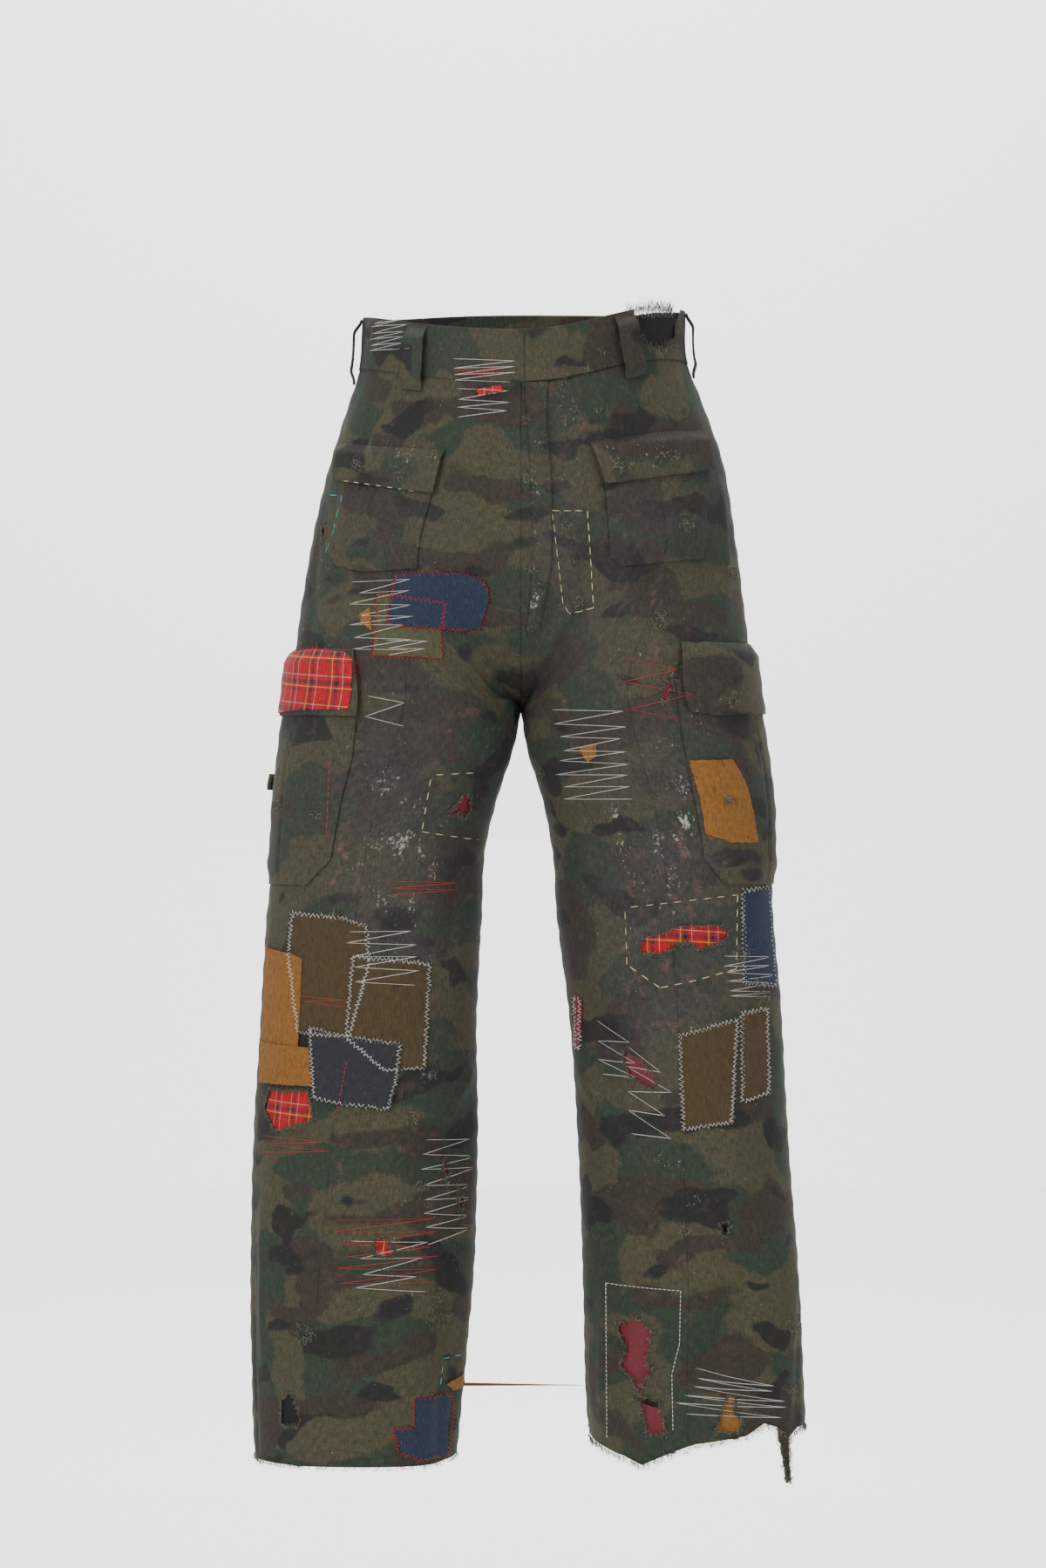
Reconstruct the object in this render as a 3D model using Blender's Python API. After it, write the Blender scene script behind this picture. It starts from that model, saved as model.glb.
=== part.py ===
"""Cargo trousers as worn: hollow legs and seat, waistband, loops, pockets, patches and backings.

The cloth follows one surface, worked out from level sections of each leg. A place on it is a
column (0 at the centre front, 6 at the front leg seam, 12 at the side seam, 24 at the centre
back; minus on the wearer's right) and a level. Lengths in the tables are in millimetres.
"""

import math
from collections import namedtuple

import bpy
import numpy as np
from mathutils import Vector
from mathutils.geometry import delaunay_2d_cdt

MM = 0.001
BAND_TOP, BAND_BOTTOM = 35 * MM, -13 * MM
CROTCH, HIP = -325 * MM, -175 * MM
LEVEL_FADE = -200 * MM
ROUND = 0.92
SEAM_GAP = 0.3 * MM
CLOTH = 1.5 * MM
BAND_CLOTH = 2.4 * MM
BAND_STEP = 0.6 * MM
PATCH_CLOTH = 1.0 * MM
LOOP_CLOTH = 2.0 * MM
LOOP_WIDTH = 20 * MM
LOOP_STAND = 6.6 * MM
LAYER = PATCH_CLOTH + SEAM_GAP
TAB_CLOTH = 5.4 * MM
BAG_BULGE = 2.6 * MM
CARGO_BULGE = 3.4 * MM
PLEAT_HALF, PLEAT_DEPTH = 5 * MM, 1.6 * MM
FLAP_TURN = 12
SEAM_COLUMN, SIDE_COLUMN, BACK_COLUMN = 6, 12, 24
FLAT_PITCH = 26 * MM
EDGE = 0.2 / 26

# Half-widths of each leg and the depth of the body, by level.
Section = namedtuple("Section", "level right_outer right_inner left_outer left_inner front back")
SECTIONS = [Section(*row) for row in (
    (35, 146, 0, 151, 0, -109, 114),
    (-13, 150, 0, 154, 0, -112, 118),
    (-50, 161, 0, 168, 0, -115, 124),
    (-100, 177, 0, 186, 0, -119, 132),
    (-160, 191, 0, 197, 0, -121, 139),
    (-223, 202, 0, 205, 0, -119, 138),
    (-280, 210, 0, 212, 0, -114, 130),
    (-325, 215, 0, 217, 0, -108, 120),
    (-370, 221, 9, 224, 7, -103, 110),
    (-417, 226, 24, 230, 21, -98, 101),
    (-466, 229, 35, 231, 30, -94, 94),
    (-514, 235, 37, 233, 33, -90, 88),
    (-612, 241, 42, 241, 45, -84, 82),
    (-725, 248, 41, 247, 53, -80, 82),
    (-855, 251, 45, 257, 58, -76, 84),
    (-984, 249, 57, 263, 62, -74, 82),
    (-1050, 246, 63, 265, 69, -73, 80),
)]
ROWS = np.array((
    35, 11, -13, -50, -90, -130, -165, -200, -235, -265, -290, -308, -318, -325, -350, -385, -425,
    -470, -515, -560, -605, -650, -700, -750, -800, -850, -900, -945, -985, -1015, -1050,
)) * MM
STOPS = np.array((0, 1.2, 2.4, 3.6, 4.8, 6, 7.2, 8.4, 9.6, 10.8, 12, 13.5, 15, 16.5, 18, 19.5, 21, 22.5, 24))

# Where the front leg seam runs, as a share of the way round from the centre front.
FRONT_SEAM = {
    -1: ((35, 0.235), (-285, 0.243), (-520, 0.270), (-712, 0.288), (-865, 0.305), (-961, 0.320), (-1050, 0.326)),
    1: ((35, 0.225), (-285, 0.233), (-520, 0.254), (-600, 0.251), (-880, 0.244), (-1050, 0.233)),
}

# How far the waist tips: the front is low, the back is high.
Waistline = namedtuple("Waistline", "side_shift front_dip dip_power back_rise")
WAISTLINES = {
    -1: Waistline(-3 * MM, 18 * MM, 2, 12 * MM),
    1: Waistline(3 * MM, 24 * MM, 6, 6 * MM),
}

# Largest folds: a line between two places, its half-width, and its height (minus is a trough).
Fold = namedtuple("Fold", "column level end_column end_level half height")
FOLDS = [Fold(*row) for row in (
    (2.6, -200, 0.3, -318, 26, -5),
    (4.6, -215, 1.2, -372, 30, 4),
    (-2.2, -222, -0.3, -316, 22, -3),
    (-4.4, -300, -1.0, -420, 34, 3),
    (1.3, -40, 1.7, -150, 20, -2),
    (-9.6, -52, -7.4, -150, 30, 3),
    (9.0, -60, 7.2, -170, 32, 3),
    (-2.2, -650, -5.0, -735, 28, 4),
    (-0.8, -700, -3.4, -770, 26, -4),
    (-8.6, -760, -8.2, -960, 30, 3),
    (-3.4, -850, -3.0, -1027, 34, 4),
    (-1.2, -900, -1.6, -1027, 26, -4),
    (8.2, -700, 8.0, -830, 28, 4),
    (7.6, -850, 5.8, -960, 26, -6),
    (4.2, -880, 3.6, -1020, 32, 4),
    (2.0, -590, 3.6, -700, 26, -4),
    (10.2, -840, 9.4, -1010, 30, 4),
    (23.2, -338, 17.0, -292, 30, -7),
    (22.8, -380, 16.0, -352, 30, 5),
    (-23.2, -338, -17.4, -296, 28, -6),
    (-22.6, -384, -16.4, -350, 30, 5),
    (14.0, -600, 21.0, -640, 30, -6),
    (20.0, -560, 15.0, -690, 28, 4),
    (-14.5, -612, -21.5, -650, 30, -6),
    (-20.4, -566, -15.4, -700, 28, 5),
    (18.0, -860, 19.0, -1020, 34, 5),
    (-18.4, -850, -17.6, -1020, 34, 5),
    (21.6, -900, 21.0, -1020, 24, -4),
    (-21.4, -890, -22.0, -1020, 24, -4),
)]

# Holes through the cloth, as (across, height) corners seen from the front.
HOLES = {
    "thigh_heart": ((-66, -423), (-58, -416), (-53, -409), (-48, -420), (-53, -433), (-65, -429)),
    "knee_tartan": ((-239, -700), (-232, -680), (-196, -682), (-190, -709), (-226, -721)),
    "slit_high": ((-69, -743), (-64, -756), (-67, -779)),
    "slit_low": ((-59, -769), (-53, -784), (-57, -802)),
    "shin_tartan": ((-135, -818), (-127, -815), (-116, -829), (-120, -835), (-134, -832)),
    "hem_black": ((-220, -967), (-212, -960), (-202, -985), (-205, -991), (-221, -991)),
    "thigh_diamond": ((133, -303), (139, -309), (137, -319), (131, -328), (127, -319)),
    "knee_slot": ((108, -546), (132, -536), (179, -529), (191, -537), (171, -550), (152, -545),
                  (130, -556), (109, -555)),
    "knee_crimson": ((92, -646), (109, -653), (124, -670), (122, -682), (99, -669)),
    "shin_crimson": ((89, -897), (105, -888), (124, -905), (116, -935), (111, -962), (128, -966),
                     (134, -997), (117, -997), (104, -946), (93, -935), (99, -920)),
    "shin_blue": ((182, -803), (190, -801), (188, -814), (183, -814)),
    "hem_mustard": ((189, -960), (197, -962), (195, -978), (205, -985), (198, -996), (178, -996)),
    "side_mustard": ((-186, -158), (-180, -162), (-181, -173), (-185, -178)),
}
BAND_HOLES = {
    "waist_tear": ((104, 24), (100, 60), (160, 60), (143, 24), (142, 6), (127, -2), (114, 0), (104, 14)),
}
WAIST_TARTAN = ((-41, -41), (-18, -37), (-16, -43), (-38, -47))

# Backings inside the cloth: how far round each hole they reach past its corners.
Backing = namedtuple("Backing", "name hole reach colour")
BACKINGS = [Backing(*row) for row in (
    ("backing_heart", "thigh_heart", 1.6, "crimson"),
    ("backing_knee_tartan", "knee_tartan", 1.25, "tartan"),
    ("backing_slit_high", "slit_high", 1.4, "crimson"),
    ("backing_slit_low", "slit_low", 1.4, "crimson"),
    ("backing_shin_tartan", "shin_tartan", 1.7, "tartan"),
    ("backing_hem_black", "hem_black", 1.45, "black"),
    ("backing_diamond", "thigh_diamond", 1.7, "crimson"),
    ("backing_knee_slot", "knee_slot", 1.25, "tartan"),
    ("backing_knee_crimson", "knee_crimson", 1.5, "crimson"),
    ("backing_shin_crimson", "shin_crimson", 1.3, "crimson"),
    ("backing_hem_mustard", "hem_mustard", 1.35, "mustard"),
    ("backing_side_mustard", "side_mustard", 1.6, "mustard"),
)]

# Patches on the outside: how many layers lie under each, its colour and its corners.
Patch = namedtuple("Patch", "name under colour corners")
PATCHES = [Patch(*row) for row in (
    ("patch_olive_thigh", 0, "olive", ((-131, -226), (-70, -236), (-73, -287), (-136, -283))),
    ("patch_denim_thigh", 1, "denim", (
        (-115, -209), (-57, -208), (-31, -220), (-29, -233), (-37, -260), (-106, -257), (-123, -253))),
    ("scrap_mustard_thigh", 0, "mustard", ((-147, -245), (-138, -239), (-136, -261), (-146, -254))),
    ("patch_brown_knee_high", 0, "brown", (
        (-210, -519), (-168, -522), (-142, -530), (-139, -564), (-158, -632), (-205, -628), (-214, -554))),
    ("patch_brown_knee", 1, "brown", (
        (-154, -558), (-84, -565), (-89, -661), (-126, -662), (-160, -632))),
    ("patch_mustard_knee", 1, "mustard", (
        (-234, -551), (-210, -556), (-200, -561), (-204, -642), (-239, -640))),
    ("patch_mustard_low", 2, "mustard", (
        (-239, -638), (-192, -642), (-172, -646), (-173, -678), (-240, -676))),
    ("patch_navy_knee", 3, "navy", (
        (-194, -624), (-168, -630), (-111, -639), (-115, -672), (-121, -698), (-164, -693), (-190, -688))),
    ("scrap_mustard_hem", 0, "mustard", ((-66, -955), (-54, -947), (-54, -959), (-60, -962))),
    ("patch_denim_hem", 0, "denim", (
        (-99, -964), (-67, -964), (-63, -972), (-67, -1021), (-91, -1022), (-112, -1014), (-118, -991),
        (-99, -992))),
    ("scrap_mustard_left", 0, "mustard", ((53, -367), (69, -363), (69, -375), (61, -381))),
    ("patch_denim_knee", 0, "denim", ((203, -498), (229, -496), (236, -587), (205, -583))),
    ("patch_brown_left", 0, "brown", ((145, -631), (198, -616), (193, -710), (148, -717))),
    ("patch_brown_side", 0, "brown", ((202, -611), (226, -607), (228, -684), (203, -692))),
    ("strip_red_inner", 0, "crimson", ((49, -597), (54, -600), (54, -646), (49, -643))),
)]

# Hip pockets: corners of the bag and of the flap, and the pleat down the bag.
HIP_BAGS = {
    "right": ((-161, -104), (-80, -112), (-80, -132), (-94, -204), (-143, -207), (-171, -200)),
    "left": ((73, -104), (164, -94), (169, -180), (166, -194), (92, -202), (80, -194)),
}
HIP_FLAPS = {
    "right": ((-163, -88), (-69, -96), (-79, -136), (-129, -129), (-166, -123)),
    "left": ((62, -89), (162, -77), (170, -114), (75, -128)),
}
HIP_PLEATS = {
    "right": ((-130, -128), (-136, -151), (-139, -204)),
    "left": ((124, -122), (131, -167), (130, -196)),
}

# Cargo pockets reach round the side seam: corners as (column, level).
CARGO_BAGS = {
    "right": ((-7.6, -292), (-7.2, -377), (-7.3, -470), (-8.2, -493), (-13.6, -494), (-14.2, -476),
              (-14.2, -292)),
    "left": ((7.4, -292), (7.2, -410), (7.3, -469), (8.0, -492), (13.6, -494), (14.2, -476),
             (14.2, -292)),
}
CARGO_FLAPS = {
    "right": ((-7.5, -277), (-7.3, -338), (-14.5, -338), (-14.4, -277)),
    "left": ((7.3, -271), (7.6, -334), (8.4, -338), (14.5, -336), (14.4, -271)),
}
CARGO_PLEATS = {
    "right": ((-9.8, -340), (-10.2, -380), (-10.0, -490)),
    "left": ((10.4, -340), (10.6, -380), (10.5, -490)),
}
CARGO_TAB = ((-12.6, -392), (-12.0, -392), (-12.0, -407), (-12.6, -407))
TARTAN_FLAP = ((-9.3, -277), (-7.8, -281), (-7.5, -288), (-7.6, -332), (-12.3, -336), (-12.2, -279))
MUSTARD_CARGO = ((7.3, -379), (8.8, -378), (9.2, -400), (9.6, -454), (8.3, -454), (7.4, -446))

# Torn lower edges of the legs, as (column, level) from the inside seam to the side seam.
HEM_FRONT = {
    -1: ((0, -1022), (2, -1027), (6, -1027), (10, -1025), (12, -1022)),
    1: ((0, -1004), (1.6, -1009), (3.4, -1018), (4.2, -1026), (5.0, -1018), (6.2, -1006), (7.8, -999),
        (8.5, -988), (9.0, -992), (9.6, -1003), (10.4, -994), (12, -994)),
}
HEM_BACK = {-1: -1022, 1: -996}
HEM_TAIL = ((9.0, -992.4), (9.6, -1003.4), (9.8, -1043), (9.55, -1044))

# Belt loops: column of the middle and its tip to one side over the length.
BELT_LOOPS = {
    "loop_front_right": (-5.45, 0.0),
    "loop_front_left": (5.35, 0.45),
    "loop_side_right": (-11.75, 0.0),
    "loop_side_left": (11.8, 0.0),
    "loop_back_right": (-18.2, 0.0),
    "loop_back_left": (18.2, 0.0),
    "loop_back_centre": (24.0, 0.0),
}
FLY = ((3, -22), (24, -24), (23, -60), (28, -130), (27, -205), (17, -258), (5, -266), (11, -190), (8, -100))

COLOURS = {
    "camo": (0.034, 0.035, 0.022),
    "camo_dark": (0.026, 0.028, 0.018),
    "denim": (0.024, 0.035, 0.064),
    "olive": (0.072, 0.074, 0.041),
    "mustard": (0.17, 0.068, 0.012),
    "brown": (0.046, 0.027, 0.010),
    "navy": (0.024, 0.022, 0.024),
    "tartan": (0.42, 0.012, 0.018),
    "crimson": (0.12, 0.006, 0.014),
    "black": (0.006, 0.006, 0.006),
}


def clear_scene():
    for item in list(bpy.data.objects):
        bpy.data.objects.remove(item)


def smooth(start, end, value):
    t = np.clip((value - start) / (end - start), 0, 1)
    return t * t * (3 - 2 * t)


def column_of(name, level):
    """Reads one column of the sections at a level, along a smooth curve through its rows."""
    levels = np.array([row.level for row in SECTIONS][::-1]) * MM
    values = np.array([getattr(row, name) for row in SECTIONS][::-1]) * MM
    slope = np.gradient(values, levels)
    i = np.clip(np.searchsorted(levels, level) - 1, 0, len(levels) - 2)
    span = levels[i + 1] - levels[i]
    t = np.clip((level - levels[i]) / span, 0, 1)
    return (
        (1 + 2 * t) * (1 - t) ** 2 * values[i] + t * (1 - t) ** 2 * span * slope[i]
        + t * t * (3 - 2 * t) * values[i + 1] - t * t * (1 - t) * span * slope[i + 1]
    )


def tilt(side, share, level):
    """How far the cloth at this place is above its level, as the waist tips."""
    line = WAISTLINES[side]
    across = np.sin((share - 0.5) * math.pi)
    front = np.clip(-across, 0, 1) ** line.dip_power * line.front_dip
    back = np.clip(across, 0, 1) ** 2 * line.back_rise
    return (line.side_shift - front + back) * smooth(LEVEL_FADE, BAND_BOTTOM, level)


def power(value, exponent):
    return np.sign(value) * np.abs(value) ** exponent


def body_point(side, share, level):
    """A point of the plain surface: half a ring above the crotch, a leg's ring below it."""
    name = "left" if side > 0 else "right"
    outer, inner = column_of(name + "_outer", level), np.maximum(column_of(name + "_inner", level), 0)
    front, back = column_of("front", level), column_of("back", level)
    middle, half = (front + back) / 2, (back - front) / 2
    rise = np.clip((level - CROTCH) / (HIP - CROTCH), 0, 1)
    steep = 1 - np.sqrt(np.maximum(1 - (1 - rise) ** 2, 0))
    gentle = smooth(1, 0, rise)
    near_rise = smooth(0.24, 0.02, np.minimum(share, 1 - share))
    split = gentle + (steep - gentle) * near_rise
    torso, leg = (share - 0.5) * math.pi, (share - 0.5) * 2 * math.pi
    torso_x, torso_y = outer * power(np.cos(torso), ROUND), middle + half * power(np.sin(torso), ROUND)
    leg_x = (outer + inner) / 2 + (outer - inner) / 2 * power(np.cos(leg), ROUND)
    leg_y = middle + half * power(np.sin(leg), ROUND)
    x = torso_x + (leg_x - torso_x) * split
    y = torso_y + (leg_y - torso_y) * split
    return np.stack([side * x, y, level + tilt(side, share, level)], axis=-1)


def seam_share(side, level):
    table = FRONT_SEAM[side][::-1]
    return np.interp(level / MM, [row[0] for row in table], [row[1] for row in table])


def share_at(side, column, level):
    seam = seam_share(side, level)
    return np.where(
        column < SEAM_COLUMN,
        seam * column / SEAM_COLUMN,
        np.where(
            column < SIDE_COLUMN,
            seam + (0.5 - seam) * (column - SEAM_COLUMN) / (SIDE_COLUMN - SEAM_COLUMN),
            0.5 + 0.5 * (column - SIDE_COLUMN) / (BACK_COLUMN - SIDE_COLUMN),
        ),
    )


def column_at(side, share, level):
    seam = seam_share(side, level)
    if share < seam:
        return SEAM_COLUMN * share / seam
    return SEAM_COLUMN + (SIDE_COLUMN - SEAM_COLUMN) * (share - seam) / (0.5 - seam)


def place(x, z, side=None):
    """The (column, level) of a place on the front, from how far across and how high it is."""
    side = side or (1 if x > 0 else -1)
    level, share = z * MM, 0.25
    for _ in range(5):
        low, high = 0.0, 0.5
        for _ in range(28):
            share = (low + high) / 2
            if body_point(side, share, level)[0] * side < x * side * MM:
                low = share
            else:
                high = share
        level = z * MM - tilt(side, share, level)
    return float(side * column_at(side, share, level)), float(level) / MM


def places(corners, side=None):
    return [place(x, z, side) for x, z in corners]


def fold_height(columns, levels):
    total = np.zeros(np.broadcast(columns, levels).shape)
    for fold in FOLDS:
        start = np.array([fold.column * FLAT_PITCH, fold.level * MM])
        along = np.array([fold.end_column * FLAT_PITCH, fold.end_level * MM]) - start
        px, pz = columns * FLAT_PITCH - start[0], levels - start[1]
        t = (px * along[0] + pz * along[1]) / (along @ along)
        near = np.clip(t, 0, 1)
        apart = np.hypot(px - near * along[0], pz - near * along[1]) / (fold.half * MM)
        total += fold.height * MM * np.exp(-(apart ** 2)) * smooth(-0.35, 0.25, t) * smooth(1.35, 0.75, t)
    return total


class Cloth:
    """The surface as a grid of rows and columns, with a point and an outward normal at each."""

    def __init__(self):
        self.points = {side: self.side_points(side) for side in (-1, 1)}
        self.normals = self.shared_normals()

    def side_points(self, side):
        columns = STOPS[None, :]
        levels = ROWS[:, None] + 0 * columns
        share = share_at(side, columns + 0 * levels, levels)
        plain = body_point(side, share, levels)
        step = 1e-4
        around = body_point(side, np.clip(share + step, 0, 1), levels) - body_point(
            side, np.clip(share - step, 0, 1), levels)
        down = body_point(side, share, levels - step) - body_point(side, share, levels + step)
        out = np.cross(around, down) * -side
        out /= np.linalg.norm(out, axis=-1, keepdims=True) + 1e-12
        height = fold_height(side * columns + 0 * levels, levels)
        height = height * smooth(0, 1.2, columns) * smooth(BACK_COLUMN, BACK_COLUMN - 1.2, columns)
        return plain + out * height[..., None]

    def shared_normals(self):
        total = {}
        for side, points in self.points.items():
            a, b, c, d = points[:-1, :-1], points[:-1, 1:], points[1:, 1:], points[1:, :-1]
            for corner_set in ((a, d, c), (a, c, b)):
                normal = np.cross(corner_set[1] - corner_set[0], corner_set[2] - corner_set[0]) * side
                for corner in corner_set:
                    for spot, value in zip(corner.reshape(-1, 3), normal.reshape(-1, 3)):
                        key = self.key(spot)
                        total[key] = total.get(key, 0) + value
        result = {}
        for side, points in self.points.items():
            found = np.array([total[self.key(spot)] for spot in points.reshape(-1, 3)]).reshape(points.shape)
            result[side] = found / (np.linalg.norm(found, axis=-1, keepdims=True) + 1e-15)
        return result

    @staticmethod
    def key(spot):
        return tuple(int(round(value * 20000)) for value in spot)

    def at(self, column, level):
        """The point and normal at a signed column and a level (mm), on the flat facets."""
        column = (column + BACK_COLUMN) % (2 * BACK_COLUMN) - BACK_COLUMN
        side = 1 if column >= 0 else -1
        column, level = abs(column), level * MM
        row = int(np.clip(np.searchsorted(-ROWS, -level, side="right") - 1, 0, len(ROWS) - 2))
        first = int(np.clip(np.searchsorted(STOPS, column, side="right") - 1, 0, len(STOPS) - 2))
        u = (column - STOPS[first]) / (STOPS[first + 1] - STOPS[first])
        v = (level - ROWS[row]) / (ROWS[row + 1] - ROWS[row])
        if u > v:
            weights = ((0, 0, 1 - u), (0, 1, u - v), (1, 1, v))
        else:
            weights = ((0, 0, 1 - v), (1, 0, v - u), (1, 1, u))
        point = sum(w * self.points[side][row + i, first + j] for i, j, w in weights)
        normal = sum(w * self.normals[side][row + i, first + j] for i, j, w in weights)
        return point, normal / np.linalg.norm(normal)


def to_flat(place_at):
    return Vector((place_at[0] * FLAT_PITCH, place_at[1] * MM))


def inside(spot, outline):
    x, y = spot
    hit = False
    for (ax, ay), (bx, by) in zip(outline, outline[1:] + outline[:1]):
        if (ay > y) != (by > y) and x < (bx - ax) * (y - ay) / (by - ay) + ax:
            hit = not hit
    return hit


def diagonal_ends(columns, i):
    """The columns that the facet diagonals reach as they go down one row from column i."""
    if columns[i] == 0:
        return (i - 1, i + 1)
    if columns[i] == BACK_COLUMN:
        return ()
    return (i - 1,) if columns[i] < 0 or columns[i] > BACK_COLUMN else (i + 1,)


def cut_flat(outline, holes=(), lines=()):
    """Cuts an outline from the flat grid, less its holes: flat points and triangles.

    Every triangle lies within one facet of the surface, so a piece lies true on what is under it.
    """
    points, edges = [], []

    def add_path(path, closed):
        first = len(points)
        points.extend(to_flat(spot) for spot in path)
        last = len(points) - 1
        edges.extend((i, i + 1) for i in range(first, last))
        if closed:
            edges.append((last, first))

    low, high = min(c for c, _ in outline), max(c for c, _ in outline)
    bottom, top = min(z for _, z in outline), max(z for _, z in outline)
    every = np.concatenate([-STOPS[:0:-1], STOPS, 2 * BACK_COLUMN - STOPS[-2::-1]])
    columns = [i for i in range(len(every))
               if every[min(i + 1, len(every) - 1)] > low and every[max(i - 1, 0)] < high]
    rows = [i for i in range(len(ROWS))
            if ROWS[max(i - 1, 0)] / MM > bottom - 1 and ROWS[min(i + 1, len(ROWS) - 1)] / MM < top + 1]
    index = {}
    for row in rows:
        for i in columns:
            index[row, i] = len(points)
            points.append(to_flat((every[i], ROWS[row] / MM)))
    for (row, column), i in index.items():
        diagonals = [(row + 1, other) for other in diagonal_ends(every, column)]
        for other in [(row + 1, column), (row, column + 1), *diagonals]:
            if other in index:
                edges.append((i, index[other]))
    add_path(outline, True)
    for hole in holes:
        add_path(hole, True)
    for line in lines:
        add_path(line, False)
    found = delaunay_2d_cdt(points, edges, [], 0, 1e-6)
    flat, faces = [(p.x, p.y) for p in found[0]], found[2]
    rim = [tuple(to_flat(spot)) for spot in outline]
    gaps = [[tuple(to_flat(spot)) for spot in hole] for hole in holes]
    kept = []
    for face in faces:
        middle = tuple(sum(flat[i][k] for i in face) / 3 for k in (0, 1))
        (ax, ay), (bx, by), (cx, cy) = (flat[i] for i in face)
        area = (bx - ax) * (cy - ay) - (by - ay) * (cx - ax)
        if abs(area) < 1e-12 or not inside(middle, rim) or any(inside(middle, gap) for gap in gaps):
            continue
        kept.append(tuple(face) if area > 0 else tuple(face)[::-1])
    used = sorted({i for face in kept for i in face})
    renumber = {old: new for new, old in enumerate(used)}
    return [flat[i] for i in used], [tuple(renumber[i] for i in face) for face in kept]


def add_object(name, points, faces, colour):
    mesh = bpy.data.meshes.new(name)
    mesh.from_pydata([tuple(p) for p in points], [], faces)
    mesh.validate()
    material = bpy.data.materials.new(name)
    material.use_nodes = True
    shader = material.node_tree.nodes["Principled BSDF"]
    shader.inputs["Base Color"].default_value = (*COLOURS[colour], 1)
    shader.inputs["Roughness"].default_value = 0.9
    mesh.materials.append(material)
    item = bpy.data.objects.new(name, mesh)
    bpy.context.scene.collection.objects.link(item)
    return item


def make_sheet(cloth, name, colour, outline, out, thickness, holes=(), lines=()):
    """One piece of cloth: its outer face stands `out` off the surface, and its wall goes inwards."""
    flat, faces = cut_flat(outline, holes, lines)
    outer, inner = [], []
    for x, z in flat:
        column, level = x / FLAT_PITCH, z / MM
        point, normal = cloth.at(column, level)
        height = out(column, level) if callable(out) else out
        outer.append(point + normal * height)
        inner.append(point + normal * (height - thickness))
    count = len(flat)
    used_once = {}
    for face in faces:
        for a, b in zip(face, face[1:] + face[:1]):
            if (b, a) in used_once:
                del used_once[b, a]
            else:
                used_once[a, b] = True
    solid = list(faces) + [tuple(i + count for i in face[::-1]) for face in faces]
    solid += [face for a, b in used_once for face in ((b, a, a + count), (b, a + count, b + count))]
    return add_object(name, outer + inner, solid, colour)


def distance_to_rim(spot, outline):
    x, y = to_flat(spot)
    best = 1.0
    for a, b in zip(outline, outline[1:] + outline[:1]):
        best = min(best, distance_to_line((x, y), to_flat(a), to_flat(b)))
    return best


def distance_to_line(spot, a, b):
    dx, dy = b[0] - a[0], b[1] - a[1]
    t = max(0, min(1, ((spot[0] - a[0]) * dx + (spot[1] - a[1]) * dy) / (dx * dx + dy * dy)))
    return math.hypot(spot[0] - a[0] - t * dx, spot[1] - a[1] - t * dy)


def shrink(outline, factor):
    cx = sum(c for c, _ in outline) / len(outline)
    cz = sum(z for _, z in outline) / len(outline)
    return [(cx + (c - cx) * factor, cz + (z - cz) * factor) for c, z in outline]


def shifted(line, columns):
    return [(column + columns, level) for column, level in line]


def make_panels(cloth):
    for side, word in ((-1, "right"), (1, "left")):
        holes = [places(corners) for corners in HOLES.values() if corners[0][0] * side > 0]
        top = BAND_BOTTOM / MM - 0.3
        for name, first, last in (("front_inner", 0, SEAM_COLUMN), ("front_outer", SEAM_COLUMN, SIDE_COLUMN)):
            start, end = first + EDGE, last - EDGE
            middle = [row for row in HEM_FRONT[side] if start < row[0] < end]
            ends = [(c, float(np.interp(c, *zip(*HEM_FRONT[side])))) for c in (start, end)]
            path = [(start, top), (end, top), ends[1], *middle[::-1], ends[0]]
            outline = [(side * c, z) for c, z in path]
            make_sheet(cloth, f"{name}_{word}", "camo", outline, 0, CLOTH, holes)
        start, end, hem = SIDE_COLUMN + EDGE, BACK_COLUMN - EDGE, HEM_BACK[side]
        outline = [(side * c, z) for c, z in ((start, top), (end, top), (end, hem), (start, hem))]
        make_sheet(cloth, f"back_{word}", "camo", outline, 0, CLOTH)


def make_band(cloth):
    top, bottom = BAND_TOP / MM, BAND_BOTTOM / MM
    tear = places(BAND_HOLES["waist_tear"])

    def over(column, level):
        return BAND_STEP + (BAND_CLOTH + SEAM_GAP) * smooth(2.6, 1.9, column)

    def box(first, last):
        return [(first, top), (last, top), (last, bottom), (first, bottom)]

    lines = [[(1.9, top), (1.9, bottom)], [(2.6, top), (2.6, bottom)]]
    make_sheet(cloth, "band_front_right", "camo_dark", box(-SIDE_COLUMN + EDGE, 1.6), BAND_STEP, BAND_CLOTH)
    make_sheet(cloth, "band_front_left", "camo_dark", box(0.15, SIDE_COLUMN - EDGE), over, BAND_CLOTH,
               [tear], lines)
    make_sheet(cloth, "band_back", "camo_dark", box(SIDE_COLUMN + EDGE, 3 * SIDE_COLUMN - EDGE),
               BAND_STEP, BAND_CLOTH)
    backing = [(6.2, top - 6), (11.6, top - 2), (11.6, bottom + 4), (6.2, bottom + 4)]
    make_sheet(cloth, "backing_waist_black", "black", backing,
               BAND_STEP - BAND_CLOTH - SEAM_GAP, PATCH_CLOTH)
    tartan = places(WAIST_TARTAN, -1)
    make_sheet(cloth, "patch_waist_tartan", "tartan", tartan, SEAM_GAP + PATCH_CLOTH, PATCH_CLOTH)
    fly = places(FLY, 1)
    fly = [(c, min(z, bottom - 0.3)) for c, z in fly]
    make_sheet(cloth, "fly_front", "camo", fly, SEAM_GAP + PATCH_CLOTH, PATCH_CLOTH)


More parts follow.
